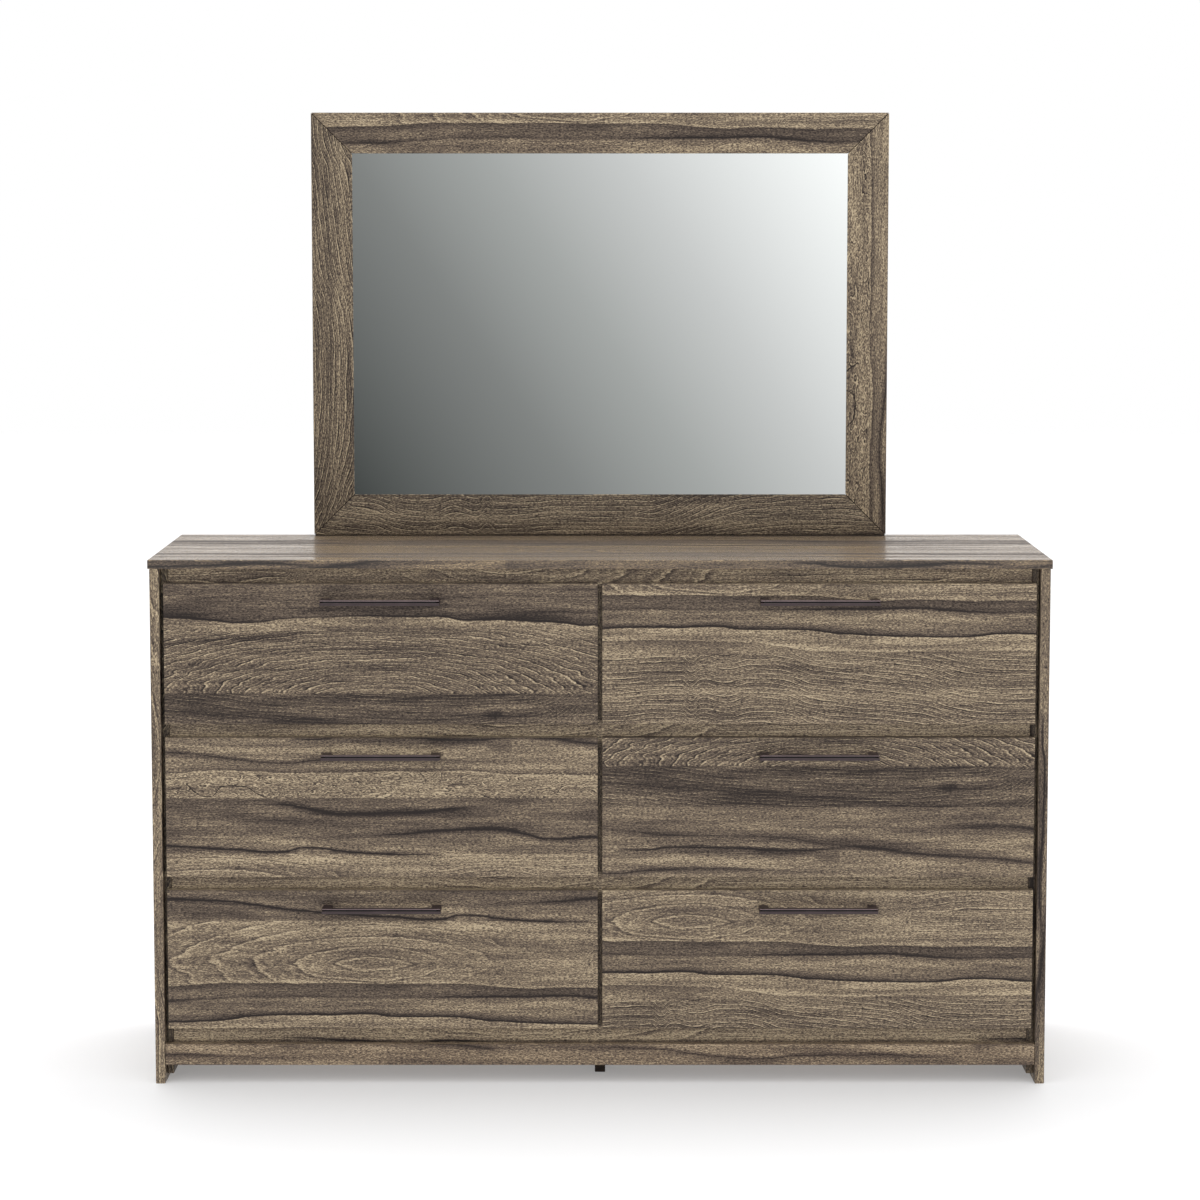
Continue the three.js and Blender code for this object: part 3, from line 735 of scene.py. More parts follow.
# A board of the printed laminate. Its faces, its long edges and its ends each read the sheet at a place
# of their own, told apart by the way they face, with the grain along every edge.
def boardMaterial(name, spec):
    material, tree, shader = newMaterial(name)
    place, box = split(surface(tree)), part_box(name)
    along = measured(place, box, spec["grain"])
    across = measured(place, box, spec["across"])
    faceU, faceV = spec["face"]
    u, v = along + faceU * cm, across + faceV * cm
    if spec.get("wrapped"):
        v = v - measured(place, box, "y")  # the sheet runs on round the member's sides
    else:
        grainAxis, acrossAxis = spec["grain"][-1], spec["across"][-1]
        thickAxis = ({"x", "y", "z"} - {grainAxis, acrossAxis}).pop()
        thickness = measured(place, box, spec.get("edgeAcross", thickAxis))
        edgeU, edgeV = spec.get("edge", (faceU, faceV + laminateSkin["edgeAbove"]))
        onLongEdge = facesAlong(tree, acrossAxis, laminateSkin["edgeFacing"])
        onEnd = facesAlong(tree, grainAxis, laminateSkin["edgeFacing"])
        u = mix(mix(u, along + edgeU * cm, onLongEdge), across + edgeU * cm, onEnd)
        v = mix(mix(v, thickness + edgeV * cm, onLongEdge), thickness + edgeV * cm, onEnd)
    colour = addNode(tree, "Group", {"Sheet": combine(u, v, 0.0)}, output="Colour", node_tree=printGroup)
    tone, fibre = [Field(colour.node.outputs[output]) for output in ("Tone", "Fibre")]
    if "gain" in spec:
        colour = stretched(colour, spec["gain"])
    smooth, rough = spec.get("roughness", laminateSkin["roughness"])
    plugAll(shader, {
        "Base Color": colour,
        "Roughness": remap(tone, *laminateSkin["lightToDark"], smooth, rough, eased=False),
        "Specular IOR Level": spec.get("specular", laminateSkin["specular"]),
        "Normal": bumped(fibre, laminateSkin["bump"], laminateSkin["bumpHeight"]),
    })
    return material


# Plain woods: colour follows long soft figure and short pores. "turns" carries the grain round upright
# corners, from y to x, where a face points along y by at least that much. woodGrain holds waves a metre
# along the grain and across it, and each noise's detail, roughness and twist.
plainWoods = {
    "darkBoard": {"dark": (26, 20, 15), "light": (52, 41, 33), "pores": 0.3, "rough": (0.5, 0.68),
                  "specular": 0.2},
    "drawerBoard": {"dark": (142, 116, 84), "light": (186, 160, 122), "pores": 0.25, "rough": (0.42, 0.6),
                    "turns": 0.6},
    "paperTape": {"dark": (158, 132, 96), "light": (182, 156, 118), "pores": 0.3, "rough": (0.6, 0.75)},
}
woodGrain = {
    "figure": (3.0, 31.5), "figureNoise": (3.0, 0.55, 0.4), "figureTone": 0.6,
    "pores": (66.0, 1260.0), "poreNoise": (3.0, 0.7), "poreSpan": (0.4, -0.4),
    "rings": 26.0, "ringTone": 0.18, "specular": 0.35, "bump": 0.3, "bumpHeight": 0.2 * mm,
}


def woodMaterial(name, spec, grainAxis):
    material, tree, shader = newMaterial(name)
    place = surface(tree)
    if "turns" in spec:
        acrossGrain = facesAlong(tree, "y", spec["turns"])
        x, y, z = split(place)
        place = combine(mix(x, y, acrossGrain), mix(y, x, acrossGrain), z)
    figureWaves, poreWaves = [[along if axis == grainAxis else across for axis in "xyz"]
                              for along, across in (woodGrain["figure"], woodGrain["pores"])]
    figure = noise(place, figureWaves, *woodGrain["figureNoise"])
    rings = mathNode("SINE", noise(place, [waves / 2 for waves in figureWaves]) * woodGrain["rings"])
    pores = noise(place, poreWaves, *woodGrain["poreNoise"])
    tone = figure * woodGrain["figureTone"] + rings * woodGrain["ringTone"] + pores * spec["pores"] + 0.5
    plugAll(shader, {
        "Base Color": colourRamp(tone, [(0.1, spec["dark"]), (0.9, spec["light"])]),
        "Roughness": remap(pores, *woodGrain["poreSpan"], *spec["rough"], eased=False),
        "Specular IOR Level": spec.get("specular", woodGrain["specular"]),
        "Normal": bumped(pores, woodGrain["bump"], woodGrain["bumpHeight"]),
    })
    return material


# Pressed hardboard, and the near-black felt whose colour paints the shadow line under the mirror: matted
# fibres, short and lying every way, over slow cloudy patches
matted = {
    "gloss": ("fibres", 0.5, -0.5), "bump": {"fibres": 1.0, "specks": 0.5}, "relief": (0.25, 0.2 * mm),
}
mattedClouds = (5.0, 3.0, 0.55, 0.0, 0.35)

# Metals with fine brushed lines and a slow, cloudy change of gloss
brushed = {"gloss": ("tone", 0.0, 1.0), "bump": {"brushed": 1.0}, "relief": (0.08, 0.1 * mm)}
metalClouds = (38.0, 3.0, 0.55, 0.0, 0.5)

# Finishes whose colour is a sum of noises: waves a metre, detail, roughness, twist, share of the tone.
# "gloss" names the noise that changes the roughness, and its span. "bump" gives the noises' shares in the
# relief, and "relief" its strength and height.
plainFinishes = {
    "hardboard": {
        **matted,
        "noises": {"cloudy": mattedClouds, "fibres": (420.0, 3.0, 0.6, 3.0, 0.45),
                   "specks": (1700.0, 2.0, 0.7, 0.0, 0.35)},
        "colours": [(0.05, (100, 73, 48)), (0.95, (146, 113, 78))], "rough": (0.55, 0.8),
        "skin": {"Specular IOR Level": 0.25},
    },
    # felt under the mirror: its near-black colours paint the shadow line there
    "shadowFelt": {
        **matted,
        "noises": {"cloudy": mattedClouds, "fibres": (900.0, 3.0, 0.6, 3.0, 0.45),
                   "specks": (2600.0, 2.0, 0.7, 0.0, 0.35)},
        "colours": [(0.05, (20, 17, 15)), (0.95, (46, 41, 37))], "rough": (0.85, 0.95),
        "skin": {"Specular IOR Level": 0.25, "Sheen Weight": 0.3},
    },
    "handleBronze": {
        **brushed,
        "noises": {"brushed": ((40.0, 2600.0, 2600.0), 3.0, 0.6, 0.0, 0.3), "cloudy": metalClouds},
        "colours": [(0.0, (12, 9, 9)), (0.2, (46, 36, 37)), (0.6, (76, 62, 64)), (1.0, (158, 138, 140))],
        "rough": (0.34, 0.5), "relief": (0.12, 0.1 * mm),
        "skin": {"Metallic": 0.25},
        # share and base of the plain tone, the painted highlight that edges facing upwards and forwards
        # add, the painted shade that grooves take, and how those edges are told
        "paintedLight": {"plain": (0.4, 0.2), "edges": 0.5, "grooveShade": 0.7, "facing": (0.1, 0.42)},
    },
    "runnerSteel": {
        **brushed,
        "noises": {"brushed": ((220.0, 60.0, 900.0), 3.0, 0.6, 0.0, 0.3), "cloudy": metalClouds},
        "colours": [(0.0, (150, 153, 155)), (1.0, (196, 199, 199))], "rough": (0.28, 0.46),
        "skin": {"Metallic": 0.9},
    },
    "screwZinc": {
        **brushed,
        "noises": {"brushed": (900.0, 3.0, 0.6, 0.0, 0.3), "cloudy": metalClouds},
        "colours": [(0.0, (150, 146, 132)), (1.0, (206, 203, 190))], "rough": (0.25, 0.4),
        "skin": {"Metallic": 0.9},
    },
    # moulded nylon, milky, with soft flow lines
    "rollerNylon": {
        "noises": {"flow": (160.0, 2.0, 0.5, 1.0, 0.5), "grain": (2200.0, 1.0, 0.5, 0.0, 0.15)},
        "colours": [(0.0, (196, 194, 184)), (1.0, (232, 231, 224))],
        "gloss": ("flow", -1.0, 1.0), "rough": (0.34, 0.46),
        "bump": {"grain": 1.0}, "relief": (0.1, 0.1 * mm),
        "skin": {"Subsurface Weight": 0.15, "Subsurface Radius": (2.0 * mm, 2.0 * mm, 1.8 * mm)},
    },
}


def plainMaterial(name, spec):
    material, tree, shader = newMaterial(name)
    place = surface(tree)
    fields, tone = {}, 0.5
    for noiseName, (waves, detail, rough, twist, share) in spec["noises"].items():
        fields[noiseName] = noise(place, waves, detail, rough, twist)
        tone = fields[noiseName] * share + tone
    fields["tone"] = tone
    if "paintedLight" in spec:  # painted highlight on edges that face upwards and forwards, and painted shade in the grooves
        paintedLight = spec["paintedLight"]
        share, base = paintedLight["plain"]
        _, y, z = split(surface(tree, "Normal"))
        grooveShade = addNode(tree, "Attribute", {}, output="Fac", attribute_name="grooveShadeMask")
        paintedHighlight = remap(y * z * -1.0, *paintedLight["facing"]) * paintedLight["edges"]
        tone = tone * share + base + paintedHighlight - grooveShade * paintedLight["grooveShade"]
    glossNoise, low, high = spec["gloss"]
    relief = sum(fields[noiseName] * share for noiseName, share in spec["bump"].items())
    plugAll(shader, {
        "Base Color": colourRamp(tone, spec["colours"]),
        "Roughness": remap(fields[glossNoise], low, high, *spec["rough"], eased=False),
        "Normal": bumped(relief, *spec["relief"]),
        **spec["skin"],
    })
    return material


# Silvered glass, faintly greenish, with a trace of unevenness in the polish
mirrorGlass = {"tint": (248, 250, 249), "edgeTint": (150, 172, 162), "rough": (0.012, 0.03), "polish": 9.0,
               "edgeFade": 12.0 * mm, "edgeBright": 0.85, "frontFacing": 0.9}


def mirrorMaterial():
    material, tree, shader = newMaterial("mirrorGlass")
    place = surface(tree)
    polish = noise(place, mirrorGlass["polish"])
    low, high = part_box("mirror_glass")
    fromEdge = mathNode("ABSOLUTE", split(place)[0]) * -1.0 + (high[0] - low[0]) / 2
    bright = remap(fromEdge, 0.0, mirrorGlass["edgeFade"], mirrorGlass["edgeBright"], 1.0)
    bright = bright * facesAlong(tree, "y", mirrorGlass["frontFacing"])
    plugAll(shader, {
        "Base Color": colourRamp(bright, [(0.0, mirrorGlass["edgeTint"]), (1.0, mirrorGlass["tint"])]),
        "Roughness": remap(polish, -1.0, 1.0, *mirrorGlass["rough"], eased=False),
        "Metallic": 1.0,
    })
    return material


def makeFlat(name, corners, material):
    mesh = bpy.data.meshes.new(name)
    mesh.from_pydata(corners, [], [(0, 1, 2, 3)])
    mesh.materials.append(material)
    flat = bpy.data.objects.new(name, mesh)
    scene.collection.objects.link(flat)
    return flat


def makeStage():
    material, tree, shader = newMaterial("paleFloor")
    place, share = surface(tree), studio["floorMottle"]
    mottle = noise(place, 3.0, detail=3.0)
    x, y, _ = split(place)
    away = remap(mathNode("SQRT", x * x + y * y), *studio["floorFade"])
    tone = away * (1 - 2 * share) + mottle * share + share
    plugAll(shader, {
        "Base Color": colourRamp(tone, [(0.0, studio["floorTone"]), (1.0, studio["floorEdgeTone"])]),
        "Roughness": studio["floorRoughness"],
        "Specular IOR Level": studio["floorSpecular"],
        "Emission Color": (1.0, 1.0, 1.0, 1.0),
        "Emission Strength": studio["floorGlow"],
    })
    half = studio["floorHalf"]
    corners = [(-half, -half, 0), (half, -half, 0), (half, half, 0), (-half, half, 0)]
    makeFlat("studioFloor", corners, material)

    material, tree, shader = newMaterial("reflectionCard")
    tree.nodes.remove(shader)
    x, _, z = split(surface(tree))
    sideways = remap(x, *card["spanX"], eased=False) * card["lean"][0]
    slant = sideways + remap(z, *card["spanZ"], eased=False) * card["lean"][1]
    values = {"Color": colourRamp(slant, card["tones"]), "Strength": card["strength"]}
    plugAll(tree.nodes["Material Output"], {"Surface": addNode(tree, "Emission", values)})
    half, height, y = card["halfWidth"], card["height"], card["behind"]
    corners = [(-half, y, 0), (half, y, 0), (half, y, height), (-half, y, height)]
    board = makeFlat("reflectionCard", corners, material)
    board.visible_camera = False
    board.visible_diffuse = False
    board.visible_shadow = False


# Handle: a section carried from one leg, round the corner, along the bar and down the other leg. Each
# point is inner + across (share * width + push), at its own height, between the inner and the outer line
# of the plan.
handleShape = {
    "leg": 16.0 * mm, "bar": 10.0 * mm, "corner": 1.0 * mm, "fillet": 3.0 * mm, "ease": 0.5 * mm,
    "upperEase": 1.3 * mm,  # the upper front edge is rounded more, and takes the light
    "grooveUp": 1.5 * mm, "grooveHalf": 1.1 * mm, "grooveDeep": 6.0 * mm, "grooveLip": 0.15 * mm,
    "grooveShadeDeep": 9.0 * mm,  # how far back from the front the groove is painted dark as shade
    "cornerPoints": 7, "legPoints": 3, "easePoints": 4, "upperPoints": 5,
}


# Line of the handle's plan: a leg at -x, a rounded corner at depth y, and the same again at the other end
def handleLine(x, y, radius):
    corner = arc((-x + radius, -y + radius), radius, 180, 270, handleShape["cornerPoints"])
    steps = np.linspace(0.0, 1.0, handleShape["legPoints"], endpoint=False)[:, None]
    line = np.concatenate([np.array([-x, 0.0]) * (1 - steps) + corner[0] * steps, corner])
    return np.concatenate([line, line[::-1] * (-1.0, 1.0)])


def handlePoints(low, high):
    s = handleShape
    half, depth, tall = (high[0] - low[0]) / 2, high[1] - low[1], (high[2] - low[2]) / 2
    outerLine = handleLine(half, depth, s["corner"])
    innerLine = handleLine(half - s["leg"], depth - s["bar"], s["fillet"])
    ease, upper, lip, deep = s["ease"], s["upperEase"], s["grooveLip"], -s["grooveDeep"]
    foot, top = s["grooveUp"] - s["grooveHalf"], s["grooveUp"] + s["grooveHalf"]
    outerPart = np.concatenate([
        arc((-ease, -tall + ease), ease, -90, 0, s["easePoints"]),
        [[0.0, foot - lip], [-lip, foot], [deep, foot], [deep, top], [-lip, top], [0.0, top + lip]],
        arc((-upper, tall - upper), upper, 0, 90, s["upperPoints"]),
    ])
    innerPart = np.concatenate([arc((ease, tall - ease), ease, 90, 180, s["easePoints"]),
                                arc((ease, -tall + ease), ease, 180, 270, s["easePoints"])])
    push, height = np.concatenate([outerPart, innerPart]).T
    share = np.concatenate([np.ones(len(outerPart)), np.zeros(len(innerPart))])
    across = outerLine - innerLine
    spread = share * np.linalg.norm(across, axis=1, keepdims=True) + push
    plan = innerLine[:, None, :] + unit(across)[:, None, :] * spread[:, :, None]
    rings = np.concatenate([plan, np.broadcast_to(height[None, :, None], (*spread.shape, 1))], axis=-1)
    return rings + ((low[0] + high[0]) / 2, high[1], (low[2] + high[2]) / 2)


def makeHandles():
    for drawer in drawers:
        low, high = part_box(f"{drawer}_handle")
        pull = makePiece(f"{drawer}_pull", [skin(handlePoints(low, high))], drawer,
                         finishes["handleBronze"], replaced=[f"{drawer}_handle"])
        # points in the groove get a mask with which the bronze paints shade into the groove
        points = np.empty(len(pull.data.vertices) * 3)
        pull.data.vertices.foreach_get("co", points)
        _, y, z = points.reshape(-1, 3).T
        fromGroove = np.abs(z - (low[2] + high[2]) / 2 - handleShape["grooveUp"])
        inBar = y < low[1] + handleShape["grooveShadeDeep"]
        inGroove = inBar & (fromGroove < handleShape["grooveHalf"] + hair)
        grooveShadeMask = pull.data.attributes.new("grooveShadeMask", "FLOAT", "POINT")
        grooveShadeMask.data.foreach_set("value", inGroove.astype(float))


# Mirror frame: the moulding's section is carried along each side, and each of its points stops short of
# the corner by its distance in from the outer edge, which makes the mitre. The section's slope is a
# parabola through the band, a crown above the straight line and the lip.
moulding = {
    "width": 71.5 * mm, "thick": 20.0 * mm, "round": 1.5 * mm, "band": 22.0 * mm,
    "drop": 8.0 * mm, "crown": 5.0 * mm, "lip": 3.0 * mm, "lipRound": 0.7 * mm,
    "rebateWide": 10.0 * mm, "rebateDeep": 9.5 * mm, "mitreGap": 0.8 * mm, "mitreEase": 0.3 * mm,
    "keyDepth": 2.0 * mm, "roundPoints": 6, "slopePoints": 25, "lipPoints": 4,
}

# Felt strip that fills the gap between the mirror and the top, its near-black colour a painted shadow line:
# how far it stays in from the mirror's sides, and its air above and below
shadowFelt = {"front": 1.2 * mm, "rear": 1.0 * mm, "end": 2.0 * mm, "round": 0.3 * mm, "air": 0.05 * mm}


# Section as (distance in from the outer edge, distance forward of the back)
def mouldingOutline():
    m = moulding
    wide, thick, lipFront = m["width"], m["thick"], m["thick"] - m["drop"]
    t = np.linspace(0.0, 1.0, m["slopePoints"])[:, None]
    start, end = np.array([m["band"], thick]), np.array([wide - m["lip"], lipFront])
    control = (start + end) / 2 + np.array([0.0, m["crown"] / 2])
    slope = start * (1 - t) ** 2 + control * 2 * t * (1 - t) + end * t ** 2
    return np.concatenate([
        [[0.0, 0.0]],
        arc((m["round"], thick - m["round"]), m["round"], 180, 90, m["roundPoints"]),
        slope[1:],
        arc((wide - m["lipRound"], lipFront - m["lipRound"]), m["lipRound"], 90, 0, m["lipPoints"]),
        [[wide, m["rebateDeep"]], [wide - m["rebateWide"], m["rebateDeep"]], [wide - m["rebateWide"], 0.0]],
    ])


def makeMirrorFrame():
    lowX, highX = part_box("mirror_frame_left")[0][0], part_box("mirror_frame_right")[1][0]
    lowZ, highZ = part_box("mirror_frame_bottom")[0][2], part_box("mirror_frame_top")[1][2]
    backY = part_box("mirror_frame_top")[1][1]
    middle = np.array([(lowX + highX) / 2, (lowZ + highZ) / 2])
    outline = mouldingOutline()
    eased, key = inset(outline, moulding["mitreEase"]), inset(outline, moulding["keyDepth"])
    gap = moulding["mitreGap"]
    shorter = gap + moulding["mitreEase"]
    keys = []
    for turns, side in enumerate(["bottom", "left", "top", "right"]):
        length, span = (highX - lowX, highZ - lowZ) if turns % 2 == 0 else (highZ - lowZ, highX - lowX)
        rings = []
        for section, end, back in [(eased, -1, gap), (outline, -1, shorter), (outline, 1, shorter),
                                   (eased, 1, gap), (key, 1, gap), (key, 1, -gap)]:
            inward, forward = section.T
            along, outward = end * (length / 2 - inward - back), -span / 2 + inward
            for _ in range(turns):
                along, outward = outward, -along
            rings.append(np.stack([along + middle[0], backY - forward, outward + middle[1]], axis=-1))
        keys.append(skin(np.array(rings[4:])))
        node = f"mirror_frame_{side}"
        makePiece(f"mirror_moulding_{side}", [skin(np.array(rings[:4]))], "carcass",
                  boardMaterial(node, boards[node]), replaced=[node])
    makePiece("mirror_mitre_keys", keys, "carcass", finishes["darkBoardZ"])

    # near-black felt strip in the gap under the mirror: a painted shadow line
    topZ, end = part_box("top_panel")[1][2], (highX - lowX) / 2 - shadowFelt["end"]
    frontY, rearY, air = backY - moulding["thick"] + shadowFelt["front"], backY - shadowFelt["rear"], shadowFelt["air"]
    outline = roundedBox(frontY, topZ + air, rearY, lowZ - air, shadowFelt["round"])
    strip = skin(carried(outline, "x", middle[0] - end, middle[0] + end))
    makePiece("mirror_shadow_felt", [strip], "carcass", finishes["shadowFelt"])


# Roller runners: a folded steel channel on each wall, with a nylon roller at its front, and a folded
# slide on the drawer, with a roller at its rear. Sections are (distance off the wall, height above the
# channel's foot).
runner = {
    "wallGap": 0.3 * mm, "steel": 1.2 * mm, "reach": 10.0 * mm, "tall": 26.0 * mm,
    "openFront": 24.8 * mm,  # length without an upper flange, which lets the drawer's roller in
    "slideFace": 12.4 * mm, "trackEdge": 2.3 * mm, "slideFoot": 4.4 * mm, "trackTop": 28.2 * mm,
    "slideFront": 2.0 * mm,
    "bend": 1.5 * mm, "fold": 0.5 * mm, "tip": 0.4 * mm,
    "frontRoller": (11.9 * mm, 15.8 * mm),  # behind the channel's front, above its foot
    "rearRoller": (11.9 * mm, 12.4 * mm),  # before the slide's rear end, above the channel's foot
    "screws": {"shares": [0.15, 0.5, 0.96], "up": 13.0 * mm, "radius": 3.6 * mm, "rise": 0.45 * mm},
    "slideScrews": {"shares": [0.08, 0.42, 0.8], "up": 14.0 * mm, "radius": 3.4 * mm, "rise": 0.6 * mm},
}

# Roller: bore, hub, sunk side and tread with an eased edge, as (radius, distance in from its side) in mm,
# and the same again on the other side. Its axle ends in a riveted head.
roller = {
    "span": (2.3 * mm, 10.0 * mm),  # off the wall
    "profile": [(3.0, 0.0), (5.2, 0.0), (5.5, 0.9), (8.4, 0.9), (8.7, 0.1), (10.3, 0.1), (10.75, 0.3),
                (10.9, 0.8)],
    "count": 40, "axleCount": 24,
    "axle": 2.95 * mm, "head": 4.5 * mm, "headTop": 3.15 * mm, "headRise": 0.3 * mm,
    "rearStart": 0.1 * mm,  # how far inside the rear roller its axle starts
}

# Screw head: rings shrink from the rim to a cross-shaped recess, as shares of the radius and the rise.
# The last two are circles pulled in between four arms, whose half angle is in degrees.
screwHead = {
    "rings": [(1.0, 0.4), (0.8, 1.0), (0.605, 1.0), (0.55, 1.0), (0.44, 0.2)], "crossRings": 2,
    "sink": 0.2 * mm, "armHalf": 17.0, "waist": 0.42, "count": 24,
}


def channelSections():
    r = runner
    near, far, top = r["wallGap"], r["reach"], r["tall"]
    web, foot, flange = near + r["steel"], r["steel"], top - r["steel"]
    corners = [(near, 0), (far, 0), (far, foot), (web, foot), (web, flange), (far, flange), (far, top),
               (near, top)]
    radii = [r["bend"], r["tip"], r["tip"], r["fold"]]
    full = rounded(corners, radii + radii[::-1])
    openTopped = full.copy()
    upper = full[:, 1] > top / 2
    openTopped[upper, 0] = np.minimum(full[upper, 0], web)
    return full, openTopped


def slideSection():
    r = runner
    far, near, top = r["slideFace"], r["trackEdge"], r["trackTop"]
    web, under = far - r["steel"], top - r["steel"]
    foot = r["slideFoot"]
    corners = [(far, foot), (far, top), (near, top), (near, under), (web, under), (web, foot)]
    return rounded(corners, [r["tip"], r["bend"], r["tip"], r["tip"], r["fold"], r["tip"]])


# Wall plane, direction off the wall, and corners of one cabinet runner
def runnerPlace(level, side, wall):
    low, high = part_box(f"runner_{level}_{side}_{wall}")
    inward = -sides[side] if wall == "outer" else sides[side]
    wallX = (high[0] if inward < 0 else low[0]) - inward * runner["wallGap"]
    return wallX, inward, low, high


# Section carried front to back through (place, section) stations
def carriedOffWall(stations, wallX, inward, foot):
    rings = [placed(section * (inward, 1) + (wallX, foot), "y", y) for y, section in stations]
    return skin(np.array(rings))


def rollerSkin(wallX, inward, y, z):
    near, far = roller["span"]
    half = np.array(roller["profile"]) * mm + (0, near)
    other = half[::-1] * (1, -1) + (0, near + far)
    profile = np.concatenate([half, other]) * (1, inward)
    return skin(turned(profile, (wallX, y, z), "x", roller["count"]), closedRows=True)


# Axle from one distance off the wall to another, with its head at the end
def axleSkin(wallX, inward, start, end, y, z):
    radius, head, headTop, rise = (roller[name] for name in ("axle", "head", "headTop", "headRise"))
    profile = [(radius, start), (radius, end), (head, end), (head, end + rise / 2), (headTop, end + rise)]
    return skin(turned(np.array(profile) * (1, inward), (wallX, y, z), "x", roller["axleCount"]))


def screwSkin(middle, axis, outward, spec):
    count, radius, rise = screwHead["count"], spec["radius"], spec["rise"]
    angles = np.linspace(0.0, 360.0, count, endpoint=False)
    fromArm = np.abs((angles + 45.0) % 90.0 - 45.0)
    profile = np.array([(1.0, -screwHead["sink"] / rise), *screwHead["rings"]]) * (radius, rise * outward)
    pull = np.ones((len(profile), count, 3))
    cross = np.where(fromArm < screwHead["armHalf"], 1.0, screwHead["waist"])
    pull[-screwHead["crossRings"]:] = cross[:, None]
    pull[:, :, "xyz".index(axis)] = 1.0
    return skin(turned(profile, (0.0, 0.0, 0.0), axis, count) * pull + np.array(middle))


# Screws in a row along a runner's web, at shares of the way from its front to its rear
def screwRow(spec, x, outward, front, rear, foot):
    return [screwSkin((x, front + share * (rear - front), foot + spec["up"]), "x", outward, spec)
            for share in spec["shares"]]


def makeRunners():
    full, openTopped = channelSections()
    behind, up = runner["frontRoller"]
    webFace = runner["wallGap"] + runner["steel"]
    rollers, fixings = [], []
    for place in [(level, side, wall) for level in levels for side in sides for wall in walls]:
        name = "_".join(place)
        wallX, inward, low, high = runnerPlace(*place)
        front, rear, foot = low[1], high[1], low[2]
        opening = front + runner["openFront"]
        stations = [(front, openTopped), (opening, openTopped), (opening, full), (rear, full)]
        makePiece(f"channel_{name}", [carriedOffWall(stations, wallX, inward, foot)], "carcass",
                  finishes["runnerSteel"], replaced=[f"runner_{name}"])
        rollers.append(rollerSkin(wallX, inward, front + behind, foot + up))
        fixings.append(axleSkin(wallX, inward, webFace, roller["span"][1], front + behind, foot + up))
        fixings += screwRow(runner["screws"], wallX + inward * webFace, inward, front, rear, foot)
    makePiece("channel_rollers", rollers, "carcass", finishes["rollerNylon"])
    makePiece("channel_fixings", fixings, "carcass", finishes["screwZinc"])


# Drawer tray: one grooved board folded round two corners. Its section, (distance in, height), is carried
# along the outer line, and each of its points lies on the straight way from that line to the inner line.
tray = {
    "wall": 12.0 * mm, "ease": 1.2 * mm, "footEase": 0.6 * mm, "corner": 2.0 * mm,
    "grooveFoot": 10.0 * mm, "grooveTall": 3.6 * mm, "grooveDeep": 5.0 * mm, "grooveLip": 0.3 * mm,
    "grooveCorner": 0.2 * mm,
    "slideRoom": 10.2 * mm,  # width of the slide beside each wall
    "cornerPoints": 5,
}


def trayRings(low, high):
    t = tray
    wall, corner, count = t["wall"], t["corner"], t["cornerPoints"]
    left, right = low[0] + t["slideRoom"], high[0] - t["slideRoom"]
    front, back, tall = low[1], high[1], high[2] - low[2]
    foot, top, deep = t["grooveFoot"], t["grooveFoot"] + t["grooveTall"], wall - t["grooveDeep"]
    section = rounded(
        [(0, 0), (wall, 0), (wall, foot), (deep, foot), (deep, top), (wall, top), (wall, tall), (0, tall)],
        [t["footEase"], t["footEase"], t["grooveLip"], t["grooveCorner"], t["grooveCorner"], t["grooveLip"],
         t["ease"], t["ease"]],
    )
    outer = np.concatenate([
        [(left, front)],
        arc((left + corner, back - corner), corner, 180, 90, count),
        arc((right - corner, back - corner), corner, 90, 0, count),
        [(right, front)],
    ])
    inner = [(left + wall, front), (left + wall, back - wall), (right - wall, back - wall),
             (right - wall, front)]
    inner = np.repeat(inner, [1, count, count, 1], axis=0)
    share = section[:, 0][None, :, None] / wall
    plan = outer[:, None, :] * (1 - share) + inner[:, None, :] * share
    height = np.broadcast_to(low[2] + section[:, 1], plan.shape[:2])
    return np.concatenate([plan, height[:, :, None]], axis=-1)


# Screws of the handle, and small stops on the back of each front, from the front's own corners
drawerFixings = {
    "handleScrew": {"in": 8.0 * mm, "radius": 4.2 * mm, "rise": 1.9 * mm},
    "stop": {"in": 34.0 * mm, "down": 9.0 * mm, "radius": 4.0 * mm, "rise": 1.2 * mm, "narrow": 0.75,
             "sink": 0.1 * mm, "count": 20},
}


# A stud that stands out of a face backwards: small stops and the heads of nails
def studSkin(place, spec):
    radius, rise = spec["radius"], spec["rise"]
    profile = [(radius, -spec["sink"]), (radius, rise / 2), (radius * spec["narrow"], rise)]
    return skin(turned(profile, place, "y", spec["count"]))


